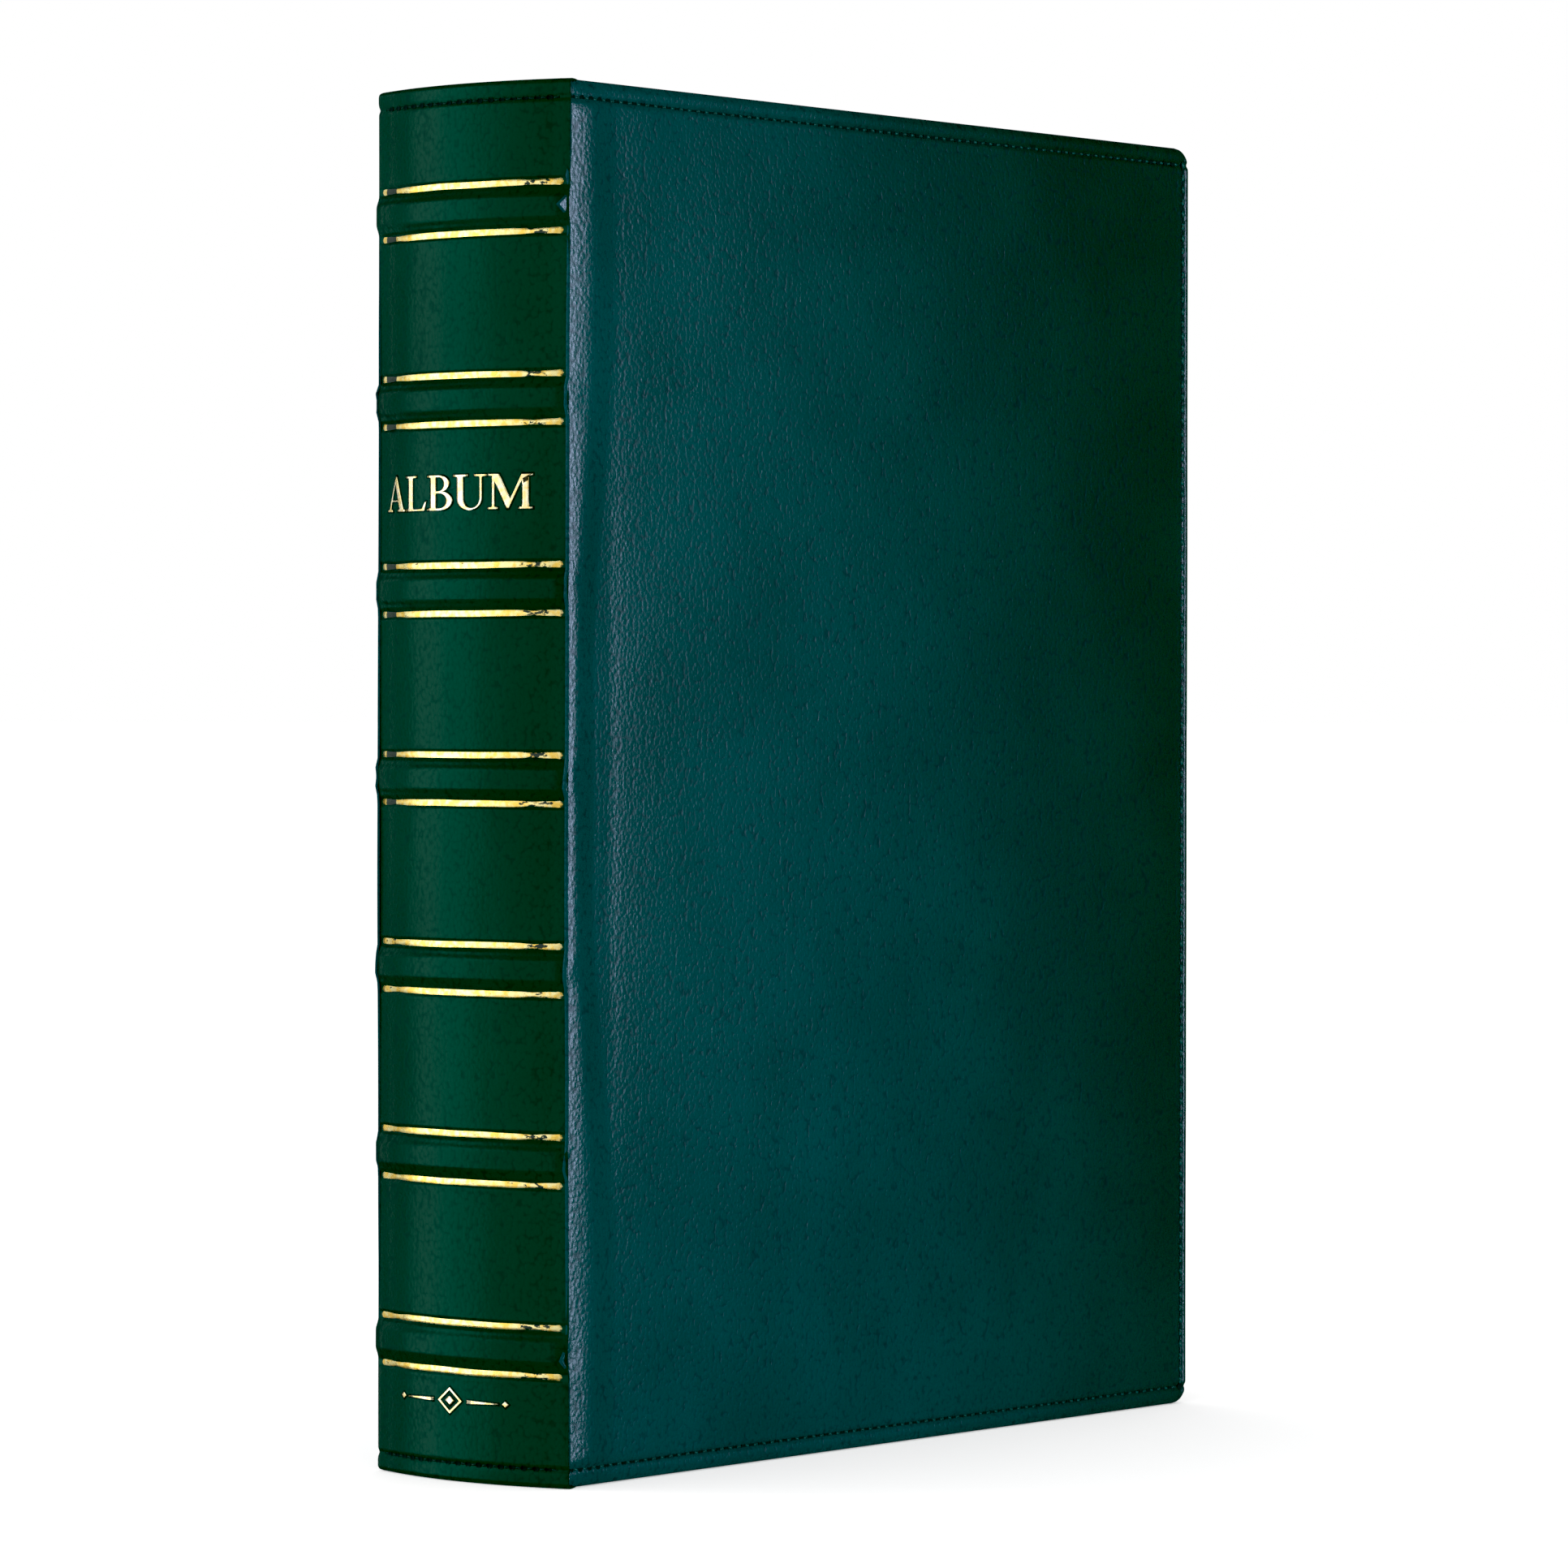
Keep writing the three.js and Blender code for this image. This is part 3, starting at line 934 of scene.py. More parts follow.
def drawn_in(place, inset):
    """The place that a rim point has after the rim is drawn in by inset."""
    x = min(place.x, FORE_X - inset)
    z = min(max(place.z, inset), HEIGHT - inset)
    if inset < FORE_CORNER:
        radius = FORE_CORNER - inset
        corner_x, corner_z = FORE_X - FORE_CORNER, FORE_CORNER
        side = 1 if place.z < HEIGHT / 2 else -1
        end = place.z if side > 0 else HEIGHT - place.z
        if place.x > corner_x and end < corner_z:
            arm = Vector((place.x - corner_x, end - corner_z)).normalized() * radius
            x, end = corner_x + arm.x, corner_z + arm.y
            z = end if side > 0 else HEIGHT - end
    return x, z


def turn_in_rim(obj):
    edit(obj)
    choose_open_edges(obj, is_outer_rim)
    for inset, depth in TURN_STEPS:
        bpy.ops.mesh.extrude_region_move(TRANSFORM_OT_translate={"value": (0, 0, 0)})
        mesh = bmesh.from_edit_mesh(obj.data)
        for vertex in mesh.verts:
            if vertex.select:
                x, z = drawn_in(vertex.co, inset * mm)
                inner = soft_step(depth, 3.5, 5.0) * 3.6 * mm
                x = max(x, crease_x + inner)
                vertex.co = Vector((x, -FACE_Y + depth * mm, z))
        bmesh.update_edit_mesh(obj.data)
    bpy.ops.mesh.select_all(action="SELECT")
    bpy.ops.mesh.remove_doubles(threshold=0.00002)
    done(obj)


turn_in_rim(front_skin)
print("front skin:", len(front_skin.data.polygons), "faces")

# %% [markdown]
# The back cover isn't seen in use, but it is made by the same hands: a mirror image. Mirroring
# turns every face inside out, so its faces are turned over again before it gets its thickness.

# %% Mirror it, and give both a thickness and their finish
BLEND_FROM = crease_x + 0.4 * mm
BLEND_TO = -105.6 * mm


def across_joint(side, start=BLEND_FROM, end=BLEND_TO):
    body = "front_cover" if side < 0 else "back_cover"
    y = side * FACE_Y
    return ["spine", body, (start, y, 0), (end, y, 0)]


back_skin = copy_of(front_skin, "back_skin", mirrored)
move_points(front_skin, tuck)
outward(back_skin, lambda face: face.normal.y * face.area * (1 if face.center.y > 0.0262 else 0))
for side, name, skin in ((-1, "front", front_skin), (1, "back", back_skin)):
    modify(skin, "SOLIDIFY", thickness=COVER_SKIN, offset=-1)
    smooth(skin, 60)
    finish_piece(skin, cover_skin_painted_sheen_finish, blend=across_joint(side),
                 replaces=[f"{name}_cover_leather", f"{name}_joint_strip"])

# %% [markdown]
# ## Foam under the skin
#
# The foam pads aren't seen from outside, but the piece should come apart on a bench as the real
# one does. A pad starts as a block a little smaller than its solid. Its outer face is inset and
# its rim pushed down, because foam that is sewn down at its rim has no corner left.

# %% Foam pads
FOAM_SHOULDER = 9 * mm                     # how wide the upper edge slopes down


def foam_pad(side, name):
    low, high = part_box(f"{name}_foam_pad")
    low = low + Vector((3.6, 0, 3.6)) * mm
    high = high - Vector((3.2, 0, 3.6)) * mm
    middle, size = (low + high) / 2, high - low
    pad = start(bpy.ops.mesh.primitive_cube_add, f"{name}_padding", size=1, location=middle,
                scale=size)
    edit(pad)
    choose(pad, lambda place: place.y * side > middle.y * side, "faces")
    bpy.ops.mesh.inset(thickness=FOAM_SHOULDER)
    choose(pad, lambda place: place.y * side > middle.y * side and (
        abs(place.x - middle.x) > size.x / 2 - 1 * mm
        or abs(place.z - middle.z) > size.z / 2 - 1 * mm))
    bpy.ops.transform.translate(value=(0, -side * PAD_DROP, 0))
    bpy.ops.mesh.select_all(action="SELECT")
    bpy.ops.mesh.subdivide(number_cuts=3, smoothness=0.0)
    done(pad)
    modify(pad, "BEVEL", width=0.3 * mm, segments=2, limit_method="ANGLE")
    smooth(pad)
    finish_piece(pad, foam_finish, f"{name}_cover", replaces=[f"{name}_foam_pad"])
    return pad


for side, name in SIDES:
    foam_pad(side, name)
print("foam pads made")

# %% [markdown]
# ## End papers
#
# Inside each cover a dark green paper hides the board and the raw edge of the skin, and runs on
# across the joint to the back of the block: it is the last hinge of the book. It starts as a
# plane, is cut with bisects, finely at its spine end, and gets a paper's thickness.

# %% End papers
PAPER_MARGIN = 4.5 * mm
PAPER_START = -109.9 * mm
PAPER_BEND = 1.1 * mm                      # kept short: the finely cut strip at the paper's spine end


def end_paper(side, name):
    right = FORE_X - PAPER_MARGIN
    width = right - PAPER_START
    tall = HEIGHT - 2 * PAPER_MARGIN
    bpy.ops.object.select_all(action="DESELECT")
    bpy.ops.mesh.primitive_plane_add(
        size=1, location=((PAPER_START + right) / 2, side * (FACE_Y - LINING_DEPTH), HEIGHT / 2),
        rotation=(math.pi / 2, 0, 0))
    paper = named(f"{name}_end_paper")
    paper.scale = (width, tall, 1)
    settle(paper)
    edit(paper)
    cuts = [PAPER_START + step * PAPER_BEND / 8 for step in range(1, 9)]
    cuts += [-98 * mm + step * 24 * mm for step in range(9)]
    for x in cuts:
        bpy.ops.mesh.select_all(action="SELECT")
        bpy.ops.mesh.bisect(plane_co=(x, 0, 0), plane_no=(1, 0, 0))
    for step in range(1, 12):
        bpy.ops.mesh.select_all(action="SELECT")
        bpy.ops.mesh.bisect(plane_co=(0, 0, HEIGHT * step / 12), plane_no=(0, 0, 1))
    choose(paper, lambda place: place.x > right - 1 * mm and (
        min(place.z, HEIGHT - place.z) < PAPER_MARGIN + 1 * mm))
    bpy.ops.mesh.bevel(offset=2 * mm, segments=5, affect="VERTICES")
    done(paper)
    outward(paper, lambda face: -side * face.normal.y * face.area)
    modify(paper, "SOLIDIFY", thickness=0.22 * mm, offset=0)
    smooth(paper, 30)
    finish_piece(paper, lining_finish,
                 blend=across_joint(side, PAPER_START, PAPER_START + PAPER_BEND),
                 replaces=[f"{name}_lining"])
    return paper


for side, name in SIDES:
    end_paper(side, name)
print("end papers made")

# %% [markdown]
# ## Gold lines
#
# Two lines frame each band. Each is a strip of foil with round ends that lies in its own pressed
# groove, and its section is slightly domed, which is what makes it flash. One strip is drawn
# flat and finely divided, rounded at its ends by moving its points, and then wrapped round the
# bow. The others are copies at their own heights. The attribute `run` stores how far along the
# strip a point is: the foil's wear reads it.

# %% One strip of foil, and its copies
LINE_HALF_RUN = 27.9 * mm
LINE_SHIFT = 0.35 * mm                     # the die was set a little off centre
LINE_HALF = 0.68 * mm


def foil_strip():
    strip = start(bpy.ops.mesh.primitive_grid_add, "foil_strip", size=1, x_subdivisions=120,
                  y_subdivisions=6)

    def shape(place):
        run = place.x * 2 * LINE_HALF_RUN
        across = place.y * 2
        end = max(abs(run) - (LINE_HALF_RUN - LINE_HALF), 0) / LINE_HALF
        half = LINE_HALF * math.sqrt(max(1 - end * end, 0.02))
        worn = 1 - 0.25 * ridge(abs(run) - 20.5 * mm, 2.5 * mm)
        swell = 1 + 0.18 * soft_step(abs(run), LINE_HALF_RUN - 1.8 * mm, LINE_HALF_RUN - 0.8 * mm)
        lift = -0.14 * mm + 0.1 * mm * (1 - across * across)
        return Vector((run, lift, across * half * worn * swell))

    move_points(strip, shape)
    attribute = strip.data.attributes.new("run", "FLOAT", "POINT")
    for value, vertex in zip(attribute.data, strip.data.vertices):
        value.value = vertex.co.x / LINE_HALF_RUN
    return strip


strip = foil_strip()
for index, height in enumerate(line_heights):
    def lay(place, height=height, index=index):
        wobble = 0.1 * mm * noise.noise(Vector((place.x * 90, index * 3.7, 0)))
        return on_bow(Vector((place.x + LINE_SHIFT, place.y, height + place.z + wobble)))

    line = copy_of(strip, f"foil_line_{index + 1}", lay)
    outward(line, lambda face: -face.normal.x * face.area)
    modify(line, "SOLIDIFY", thickness=0.08 * mm, offset=-1)
    smooth(line, 60)
    finish_piece(line, line_foil, "spine", replaces=[f"gold_line_{index + 1}"])
bpy.data.objects.remove(strip)
print("foil lines:", len(line_heights))

# %% [markdown]
# ## The title
#
# The spine says only what the thing is. The capitals are drawn here as plain outlines in units
# of their own height: thick and thin strokes with flat serifs. Round strokes are arcs. A flat
# curve fills each outline and leaves the holes open, it is turned into a mesh, wrapped on the
# bow, and given a film's thickness. A second, slightly wider copy in dark skin lies under the
# foil: it is the rim that the hot type leaves, and its dark colour is painted shade of that
# pressed rim.

# %% Letter outlines
def arc(x, z, radius_x, radius_z, start, end, steps=14):
    turns = [math.radians(start + (end - start) * step / steps) for step in range(steps + 1)]
    return [(x + radius_x * math.cos(t), z + radius_z * math.sin(t)) for t in turns]


letter_a = [
    [(0.0, 0), (0.24, 0), (0.24, 0.05), (0.16, 0.07), (0.215, 0.29), (0.475, 0.29),
     (0.54, 0.07), (0.46, 0.05), (0.46, 0), (0.80, 0), (0.80, 0.05), (0.72, 0.07),
     (0.43, 1.03), (0.39, 1.03), (0.09, 0.07), (0.0, 0.05)],
    [(0.225, 0.325), (0.468, 0.325), (0.355, 0.80)],
]
letter_l = [
    [(0, 0), (0.60, 0), (0.66, 0.27), (0.62, 0.27), (0.53, 0.08), (0.48, 0.055), (0.27, 0.055),
     (0.24, 0.085), (0.24, 0.915), (0.27, 0.945), (0.36, 0.95), (0.36, 1), (0, 1), (0, 0.95),
     (0.07, 0.94), (0.09, 0.915), (0.09, 0.085), (0.07, 0.06), (0, 0.05)],
]
letter_b = [
    [(0, 0), (0.36, 0), *arc(0.36, 0.27, 0.31, 0.27, -90, 78),
     *arc(0.34, 0.76, 0.25, 0.24, -72, 90), (0, 1), (0, 0.95), (0.07, 0.94), (0.09, 0.915),
     (0.09, 0.085), (0.07, 0.06), (0, 0.05)],
    [(0.24, 0.055), *arc(0.33, 0.27, 0.18, 0.215, -90, 90), (0.24, 0.485)],
    [(0.24, 0.54), *arc(0.31, 0.745, 0.14, 0.2, -90, 90), (0.24, 0.945)],
]
letter_u = [
    [(0, 1), (0, 0.95), (0.07, 0.94), (0.09, 0.91), *arc(0.37, 0.32, 0.28, 0.335, 180, 360, 20),
     (0.65, 0.91), (0.67, 0.94), (0.76, 0.95), (0.76, 1), (0.48, 1), (0.48, 0.95), (0.58, 0.94),
     (0.60, 0.91), *arc(0.42, 0.32, 0.18, 0.275, 360, 180, 20), (0.24, 0.91), (0.26, 0.94),
     (0.34, 0.95), (0.34, 1)],
]
letter_m = [
    [(0, 0), (0.24, 0), (0.24, 0.05), (0.155, 0.07), (0.155, 0.80), (0.44, 0), (0.48, 0),
     (0.78, 0.82), (0.78, 0.07), (0.70, 0.05), (0.70, 0), (1.02, 0), (1.02, 0.05),
     (0.93, 0.07), (0.93, 0.93), (1.02, 0.95), (1.02, 1), (0.77, 1), (0.52, 0.30),
     (0.27, 1), (0, 1), (0, 0.95), (0.10, 0.93), (0.10, 0.07), (0, 0.05)],
]
# each letter, the width it is drawn at above, and the width it is set at: the face is an
# extended one, so every letter is stretched sideways
title = [(letter_a, 0.80, 0.92), (letter_l, 0.66, 0.96), (letter_b, 0.67, 1.04),
         (letter_u, 0.76, 1.24), (letter_m, 1.02, 1.50)]

# %% [markdown]
# The foot of the spine carries a small plain ornament of the same foil: a lozenge in an open
# lozenge, with a tapered dash on each side.

# %% Ornament outlines
def lozenge(x, z, half_x, half_z):
    return [(x - half_x, z), (x, z - half_z), (x + half_x, z), (x, z + half_z)]


ornament = [lozenge(0, 0, 0.62, 0.5), lozenge(0, 0, 0.47, 0.38), lozenge(0, 0, 0.24, 0.2)]
for direction in (-1, 1):
    ornament.append([(direction * 0.85, -0.07), (direction * 2.3, -0.025),
                     (direction * 2.3, 0.025), (direction * 0.85, 0.07)])
    ornament.append(lozenge(direction * 2.6, 0, 0.16, 0.13))


# %% From outlines to foil on the bow
def foil_shape(name, outlines, scale, grow, lift, material, thickness):
    """Fill outlines of (x, z) in a flat curve, and lay the mesh of it on the spine."""
    curve = bpy.data.curves.new(name, "CURVE")
    curve.dimensions = "2D"
    curve.fill_mode = "FRONT"
    curve.offset = grow
    for outline in outlines:
        spline = curve.splines.new("POLY")
        spline.points.add(len(outline) - 1)
        spline.use_cyclic_u = True
        for point, (x, z) in zip(spline.points, outline):
            point.co = (x * scale, z * scale, 0, 1)
    obj = bpy.data.objects.new(name, curve)
    bpy.context.scene.collection.objects.link(obj)
    pick(obj)
    bpy.ops.object.convert(target="MESH")
    obj = named(name)
    edit(obj)
    bpy.ops.mesh.remove_doubles(threshold=0.000002)
    bpy.ops.mesh.quads_convert_to_tris()
    bpy.ops.mesh.subdivide(number_cuts=4)
    done(obj)
    move_points(obj, lambda place: on_bow(Vector((-place.x, lift, place.y))))
    outward(obj, lambda face: -face.normal.x * face.area)
    modify(obj, "SOLIDIFY", thickness=thickness, offset=1)
    finish_piece(obj, material, "spine")
    return obj


def placed(outlines, x, z, stretch=1.0):
    return [[(px * stretch + x, pz + z) for px, pz in outline] for outline in outlines]


CAP = 7.8 * mm
TITLE_Z = 219.5 * mm
ORNAMENT = 6.0 * mm
ORNAMENT_Z = 18 * mm
LETTER_GAP = 0.03
TITLE_SHIFT = 2.2 * mm
run = sum(width + LETTER_GAP for _, _, width in title)
here = -run / 2 - TITLE_SHIFT / CAP
everything = []
for outlines, drawn, width in title:
    everything += placed(outlines, here, TITLE_Z / CAP - 0.5, width / drawn)
    here += width + LETTER_GAP
mark = placed(ornament, -TITLE_SHIFT / ORNAMENT, ORNAMENT_Z / ORNAMENT)
for name, outlines, scale in (("title", everything, CAP), ("ornament", mark, ORNAMENT)):
    # the press copy is painted shade round the foil
    foil_shape(f"{name}_press", outlines, scale, 0.26 * mm, 0.06 * mm, pressed_shade_finish,
               0.02 * mm)
    foil_shape(f"{name}_foil", outlines, scale, -0.02 * mm, 0.1 * mm, title_foil,
               0.06 * mm)
print("title", round(run * CAP * 1000, 1), "mm wide")

# %% [markdown]
# ## Sewing
#
# A lockstitch runs round the case: a thread that dips into a needle hole every 3 mm. A stitch is
# a bead drawn long, sunk at both ends; a hole is a small cup, near black, painted shade of the
# hole. Each is modelled once. An Array modifier repeats it into a row, and the row is laid in its
# groove.

# %% A stitch and a needle hole
def one_stitch():
    stitch = start(bpy.ops.mesh.primitive_uv_sphere_add, "stitch", segments=8, ring_count=7,
                   radius=1, rotation=(0, math.pi / 2, 0))

    def shape(place):
        along = math.copysign(abs(place.x) ** 0.75, place.x)
        return Vector((along * 0.86 * mm, place.y * 0.26 * mm - abs(along) ** 4 * 0.3 * mm,
                       place.z * 0.3 * mm))

    return move_points(stitch, shape)


def one_hole():
    bpy.ops.object.select_all(action="DESELECT")
    bpy.ops.mesh.primitive_circle_add(vertices=10, radius=0.64 * mm, fill_type="NGON",
                                      rotation=(-math.pi / 2, 0, 0))
    hole = named("painted_shade_hole")
    hole.scale = (1.25, 1, 1)
    settle(hole)
    edit(hole)
    bpy.ops.mesh.inset(thickness=0.14 * mm)
    bpy.ops.transform.translate(value=(0, -0.1 * mm, 0))
    done(hole)
    return hole


def row_of(pattern, count, name):
    row = copy_of(pattern, name)
    return modify(row, "ARRAY", count=count, use_relative_offset=False,
                  use_constant_offset=True, constant_offset_displace=(STITCH, 0, 0))


stitch, hole = one_stitch(), one_hole()

# %% [markdown]
# In a pattern +Y is the way out of the skin. A row is first made along +X from 0, and `lay`
# says where each of its points goes: over the front cover, up its fore edge, or round the bow.

# %% Lay the rows
def flat_row(pattern, name, first, last, height, lift):
    count = round((last - first) / STITCH)
    row = row_of(pattern, count, name)
    return move_points(row, lambda p: Vector((first + p.x, -FACE_Y + lift(first + p.x) - p.y,
                                              height + p.z)))


def fore_row(pattern, name, first, last, lift):
    count = round((last - first) / STITCH)
    row = row_of(pattern, count, name)
    x = FORE_X - FORE_ROW_INSET
    return move_points(row, lambda p: Vector((x - p.z * 1.9, -FACE_Y + lift(x) - p.y, first + p.x)))


def row_depth(x):
    """Depth of the bottom of the sewn groove at head and foot."""
    return skin_place(Vector((x, 0, ROW_INSET))).y + FACE_Y


def fore_depth(x):
    return skin_place(Vector((x, 0, HEIGHT / 2))).y + FACE_Y


def sew_cover(pattern, label, material, sink, fore_sink):
    first = crease_x + 1.2 * mm
    corner = FORE_X - FORE_ROW_INSET
    rows = [
        flat_row(pattern, f"{label}_{z:.3f}", first, corner, z, lambda x: row_depth(x) + sink)
        for z in row_heights
    ]
    rows.append(fore_row(pattern, f"{label}_fore", ROW_INSET, HEIGHT - ROW_INSET,
                         lambda x: fore_depth(x) + fore_sink))
    front = join(f"front_{label}", *rows)
    back = mirror_of(front, f"back_{label}")
    for side, piece in ((-1, front), (1, back)):
        smooth(piece, 60)
        finish_piece(piece, material, blend=across_joint(side))


def sew_spine(pattern, label, material, sink, extra):
    half_run = SPINE_RADIUS * crease_angle - 0.8 * mm
    count = int(2 * half_run / STITCH)
    first = -count * STITCH / 2
    depth = SPINE_ROW * row_relief(0) - sink
    rows = []
    for z in row_heights:
        row = row_of(pattern, count + extra, f"{label}_{z:.3f}")
        rows.append(move_points(row, lambda p: on_bow(Vector((first + p.x, depth + p.y, z + p.z)))))
    spine = join(f"spine_{label}", *rows)
    smooth(spine, 60)
    finish_piece(spine, material, "spine")


def half_pitch(place):
    return place + Vector((STITCH / 2, 0, 0))


move_points(stitch, half_pitch)
for pattern, label, material, spine_material, sink, fore_sink, extra in (
        (stitch, "stitching", painted_highlight_thread, painted_shade_thread, -0.06 * mm, -0.34 * mm, 0),
        (hole, "painted_shade_holes", painted_hole_shade_finish, painted_hole_shade_finish, -0.22 * mm, -0.22 * mm, 1)):
    sew_cover(pattern, label, material, sink, fore_sink)
    sew_spine(pattern, label, spine_material, sink, extra)
    bpy.data.objects.remove(pattern)
print("sewing rows laid")

# %% [markdown]
# ## The leaves' dress
#
# A stock leaf carries clear strips, glued along three sides, that hold the stamps. Between two
# leaves lies a glassine sheet, and a linen tape holds each card to the sewn guards. All three
# are made once for the first leaf and copied to the others at their own places.

# %% Clear strips, glassine and linen for one leaf
STRIPS = 9
leaf_low, leaf_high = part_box("leaf_01")
leaf_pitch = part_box("leaf_02")[0].y - leaf_low.y
leaf_middle = (leaf_low.y + leaf_high.y) / 2
card_half = (leaf_high.y - leaf_low.y) / 2
CARD_START = leaf_low.x + 13 * mm


def slab(name, low, high, bevel):
    """A thin bevelled sheet between two corners."""
    obj = start(bpy.ops.mesh.primitive_cube_add, name, size=1, location=(low + high) / 2,
                scale=high - low)
    edit(obj)
    choose(obj, lambda place: abs(place.x - (low.x + high.x) / 2) > (high.x - low.x) / 2 - bevel
           and abs(place.z - (low.z + high.z) / 2) > (high.z - low.z) / 2 - bevel, "edges")
    bpy.ops.mesh.bevel(offset=bevel, segments=3)
    done(obj)
    return obj


def clear_strips():
    pitch = (leaf_high.z - leaf_low.z - 16 * mm) / STRIPS
    low_z = leaf_low.z + 10 * mm
    face = card_half + 0.02 * mm
    strip = slab("strip", Vector((CARD_START + 8 * mm, face, low_z)),
                 Vector((leaf_high.x - 6 * mm, face + 0.1 * mm, low_z + pitch - 4 * mm)), 1 * mm)
    edit(strip)
    choose(strip, lambda place: place.y > face + 0.09 * mm, "faces")
    bpy.ops.mesh.inset(thickness=1.2 * mm)
    bpy.ops.transform.translate(value=(0, 0.12 * mm, 0))
    done(strip)
    modify(strip, "ARRAY", count=STRIPS, use_relative_offset=False, use_constant_offset=True,
           constant_offset_displace=(0, 0, pitch))
    return join("strips", strip, mirror_of(strip, "strip_other"))


def glassine_sheet():
    out = card_half + 0.42 * mm
    low = Vector((CARD_START - 4 * mm, out, leaf_low.z + 2 * mm))
    high = Vector((leaf_high.x - 2 * mm, out + 0.06 * mm, leaf_high.z - 2 * mm))
    return slab("glassine", low, high, 1.5 * mm)


def linen_tape():
    """A sleeve of linen on both faces of the hinge strip, lapping on to the card."""
    low = Vector((leaf_low.x + 0.3 * mm, 0.16 * mm, leaf_low.z + 1 * mm))
    high = Vector((CARD_START - 1.4 * mm, 0.24 * mm, leaf_high.z - 1 * mm))
    tape = slab("tape", low, high, 0.6 * mm)
    lap_low = Vector((CARD_START + 0.2 * mm, card_half + 0.01 * mm, low.z))
    lap_high = Vector((CARD_START + 6 * mm, card_half + 0.09 * mm, high.z))
    near = join("tape", tape, slab("lap", lap_low, lap_high, 0.6 * mm))
    return join("linen", mirror_of(near, "far_tape"), near)


# %% Copy them to all twenty leaves
patterns = (
    (clear_strips(), "strips", film_finish, "strip_film"),
    (linen_tape(), "linen", linen_finish, "binding_cloth"),
    (glassine_sheet(), "glassine", glassine_finish, "glassine"),
)
for pattern, label, material, slot in patterns:
    for number in range(1, LEAVES + 1):
        # a leaf's one interleaf lies on the side that faces the middle of the block
        way = -1 if label == "glassine" and number > LEAVES / 2 else 1
        y = leaf_middle + (number - 1) * leaf_pitch
        piece = copy_of(pattern, f"leaf_{number:02d}_{label}",
                        lambda p: Vector((p.x, y + way * p.y, p.z)))
        if way < 0:
            piece.data.flip_normals()
        finish_piece(piece, material, f"leaf_{number:02d}")
    bpy.data.objects.remove(pattern)
print("leaf pieces:", LEAVES * len(patterns))

# %% [markdown]
# ## Headbands
#
# A headband is a roll of cloth sewn over with coloured thread, so it looks like a row of tight
# turns. It starts as a half cylinder made of rings, and each ring is swollen or drawn in by
# turns. The thread's colours change in step, by a stripe pattern along Y.

# %% Headbands
def striped_cloth(name, pitch):
    finish = Finish(name)
    stripe = finish.wave("Y", WAVE_RUN / pitch)
    thread = finish.wave("Y", WAVE_RUN / (0.6 * mm))
    mask = finish.between(stripe, 0.45, 0.55)
    return finish.surface(
        Base_Color=finish.mix(mask, linear(8, 66, 50), linear(214, 202, 170)),
        Roughness=finish.between(thread, 0, 1, 0.75, 0.55),
        Normal=finish.bump(thread, 0.08 * mm),
    )


headband_finish = striped_cloth("headband_thread", 4.8 * mm)


def headband(node, up):
    low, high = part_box(node)
    length = high.y - low.y
    radius = (high.x - low.x) / 2
    base = low.z if up else high.z
    rings = int(length / (0.3 * mm))
    band = start(bpy.ops.mesh.primitive_grid_add, f"{node}_roll", size=1, x_subdivisions=10,
                 y_subdivisions=rings)
    direction = 1 if up else -1

    def shape(place):
        turn = (place.x + 0.5) * math.pi
        ring = round((place.y + 0.5) * rings)
        end = min(ring, rings - ring) / 3
        swell = (0.97 if ring % 2 else 0.88) * min(1, 0.4 + 0.6 * end)
        reach = radius * swell
        return Vector(((low.x + high.x) / 2 + reach * math.cos(turn), low.y + length *
                       (place.y + 0.5), base + direction * reach * math.sin(turn)))

    move_points(band, shape)
    edit(band)
    choose_open_edges(band)
    bpy.ops.mesh.edge_face_add()
    bpy.ops.mesh.select_all(action="SELECT")
    bpy.ops.mesh.normals_make_consistent(inside=False)
    done(band)
    smooth(band, 70)
    return finish_piece(band, headband_finish, "spine", replaces=[node])


headband("headband_top", True)
headband("headband_bottom", False)
print("headbands made")

# %% [markdown]
# ## Studio
#
# The album stands on a plain white floor in a white room, and the room's own light gives the
# body colour. What draws its shape are the reflections, so most softboxes show only there: the
# first lights the roll beside the spine, and the others the round of the bow and the gold on it.
# The last one works the other way: it isn't reflected, and only brightens the spine's far side.

# %% Camera
DISTANCE = 1.53
YAW = math.radians(-50.75)
PITCH = math.radians(0.70)
ROLL = math.radians(0.09)
AIM_RIGHT, AIM_UP = -2.89 * mm, -1.11 * mm

back = Vector((math.sin(YAW) * math.cos(PITCH), -math.cos(YAW) * math.cos(PITCH), math.sin(PITCH)))
right = Vector((math.cos(YAW), math.sin(YAW), 0))
up = back.cross(right)
centre = Vector((0, 0, HEIGHT / 2))
camera = bpy.data.objects.new("camera", bpy.data.cameras.new("camera"))
bpy.context.scene.collection.objects.link(camera)
turn = Matrix((right, up, back)).transposed() @ Matrix.Rotation(ROLL, 3, "Z")
camera.matrix_world = Matrix.Translation(
    centre + back * DISTANCE + right * AIM_RIGHT + up * AIM_UP) @ turn.to_4x4()
camera.data.lens = 149.0
camera.data.sensor_width = 36.0
bpy.context.scene.camera = camera
view = bpy.context.scene.view_settings
view.view_transform = "Standard"
view.use_curve_mapping = True              # a raised black point keeps the dark skin deep
view.curve_mapping.black_level = (0.016, 0.007, 0.009)


# %% Lights
LIGHT_DISTANCE = 1.6


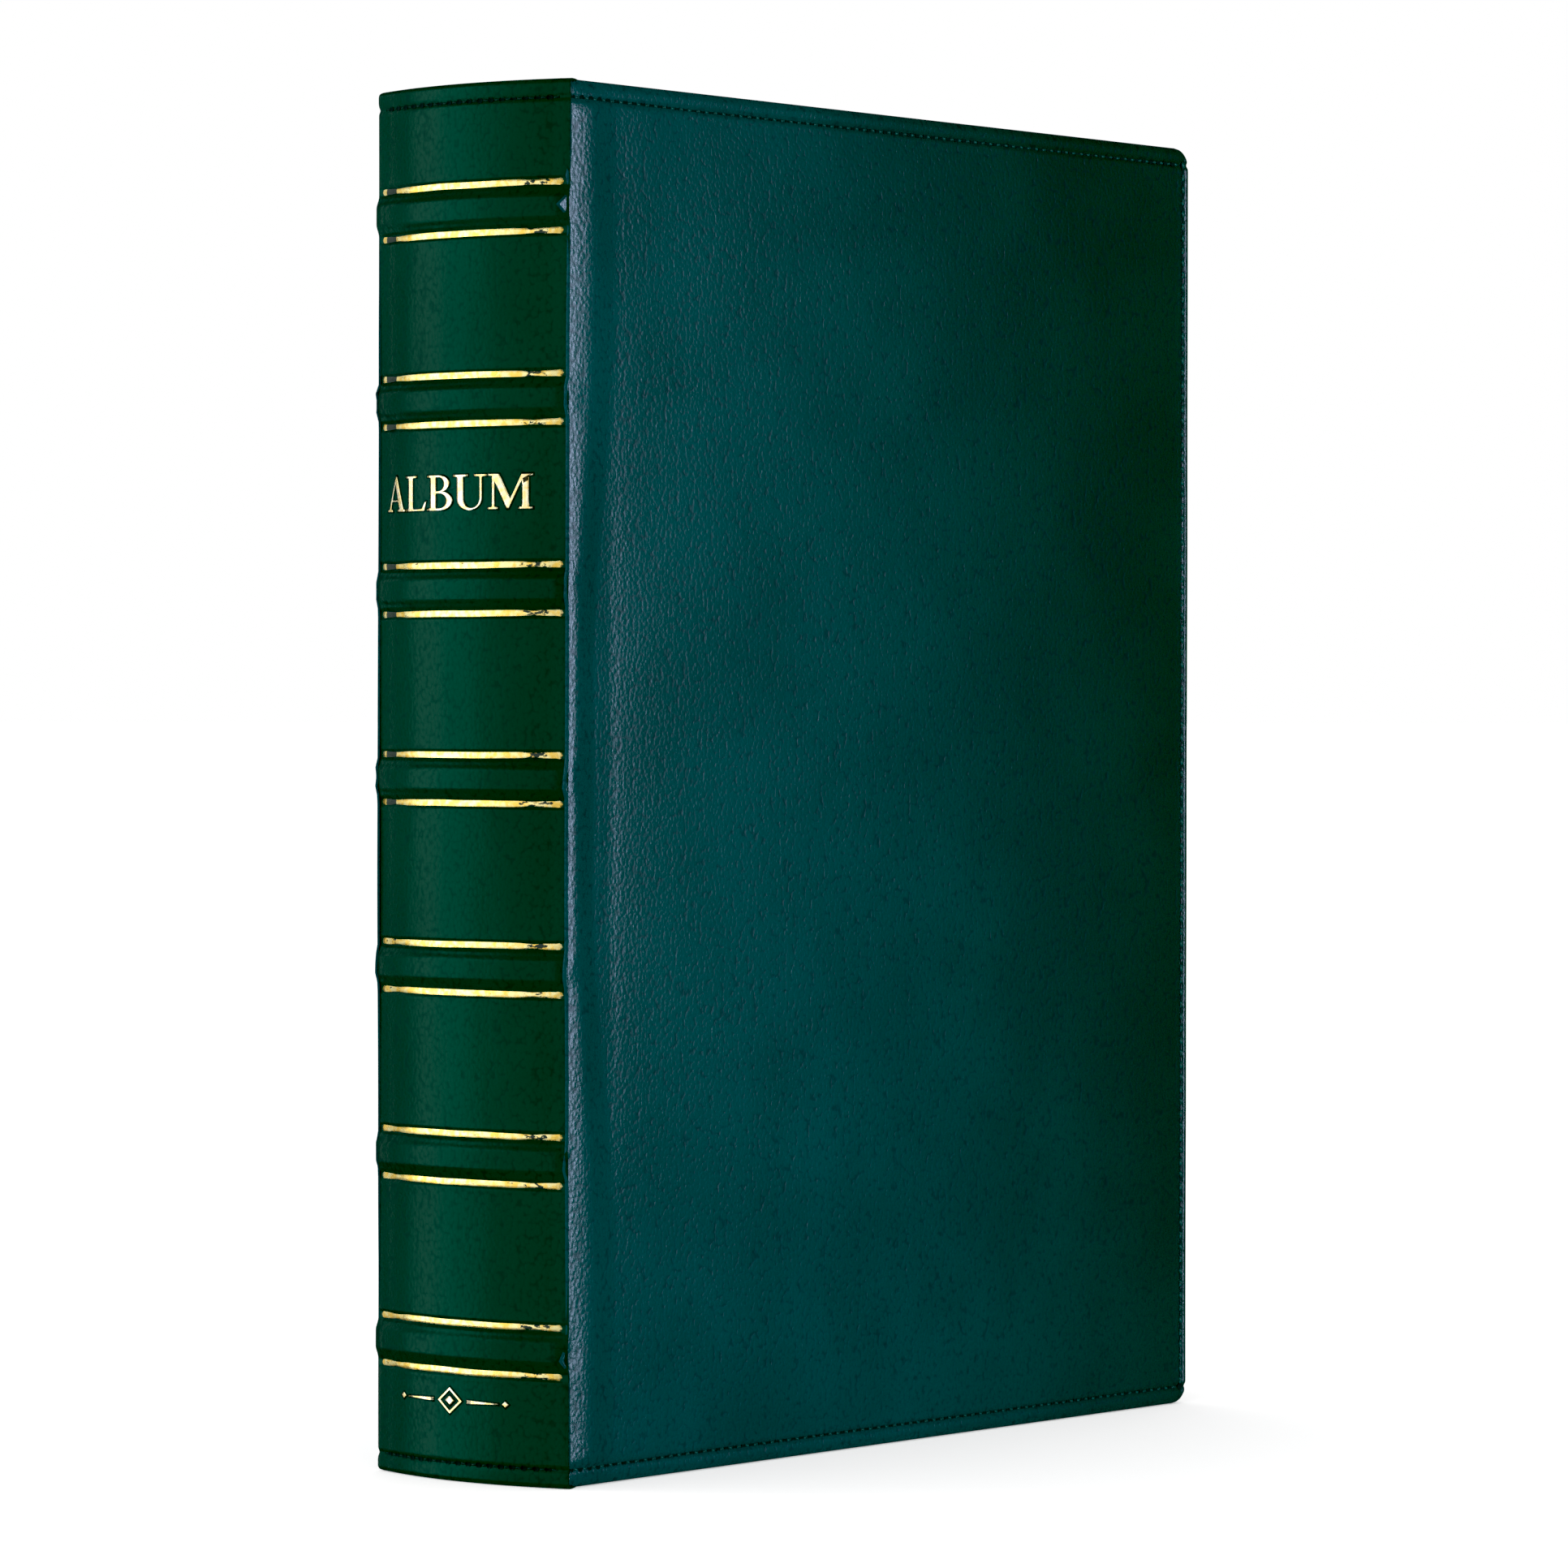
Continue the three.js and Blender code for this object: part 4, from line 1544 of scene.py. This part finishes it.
def softbox(name, azimuth, elevation, width, tall, watts, reflected):
    """A white rectangle of light. Azimuth 0 faces the front cover, 90 faces the spine."""
    light = bpy.data.lights.new(name, "AREA")
    light.shape = "RECTANGLE"
    light.size = width
    light.size_y = tall
    light.energy = watts
    obj = bpy.data.objects.new(name, light)
    bpy.context.scene.collection.objects.link(obj)
    a, e = math.radians(azimuth), math.radians(elevation)
    way = Vector((-math.sin(a) * math.cos(e), -math.cos(a) * math.cos(e), math.sin(e)))
    obj.location = centre + way * LIGHT_DISTANCE
    obj.rotation_euler = way.to_track_quat("Z", "Y").to_euler()
    obj.visible_glossy = reflected
    obj.visible_diffuse = not reflected
    obj.visible_camera = False


# name, azimuth, elevation, width, height, watts, and whether it shows in reflections only
for row in (
    ("joint_softbox", -20, 0, 0.28, 1.0, 20, True),
    ("spine_softbox", 134.5, 4, 0.9, 1.5, 11, True),
    ("far_softbox", 168, 4, 0.24, 1.5, 1.3, True),
    ("side_softbox", 60, 20, 0.5, 1.5, 4, True),
    ("foil_softbox", 104, 0, 0.78, 1.5, 4.2, True),
    ("spine_key", 146, 4, 0.8, 1.5, 8, False),
):
    softbox(*row)

# %% Room and floor
world = bpy.data.worlds.new("room")
world.use_nodes = True
bpy.context.scene.world = world
room = Finish("room", world.node_tree)
seen = room.node("LightPath", output="Is Camera Ray")
mirror = room.node("LightPath", output="Is Glossy Ray")
background = next(n for n in world.node_tree.nodes if n.type == "BACKGROUND")
background.inputs["Color"].default_value = (1, 1, 1, 1)
room.connect(background.inputs["Strength"], seen * 0.15 + (1 - mirror) * 0.81 + 0.04)

floor = start(bpy.ops.mesh.primitive_circle_add, "floor", vertices=96, radius=60,
              fill_type="NGON")
floor_finish = Finish("floor")
speckle = floor_finish.noise(3, 2)
floor.data.materials.append(floor_finish.surface(
    Base_Color=floor_finish.mix(speckle, (0.9, 0.9, 0.9, 1), (0.92, 0.92, 0.92, 1)),
    Roughness=0.8,
    Specular_IOR_Level=0.0,
    Emission_Color=(1, 1, 1, 1),
    Emission_Strength=0.42,
))
floor.visible_glossy = False
floor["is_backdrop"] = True

# %% [markdown]
# ## Last look
#
# The differences between the visual model's box and the engineering model's are printed.
# The visual model has to stay in the engineering model's box, apart from a little softness.

# %% Sizes, and finish
final_low, final_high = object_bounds()
print("pieces:", len(pieces))
for low_new, low_cad, high_new, high_cad in zip(final_low, cad_low, final_high, cad_high):
    print("box", round((low_new - low_cad) * 1000, 2), round((high_new - high_cad) * 1000, 2), "mm")
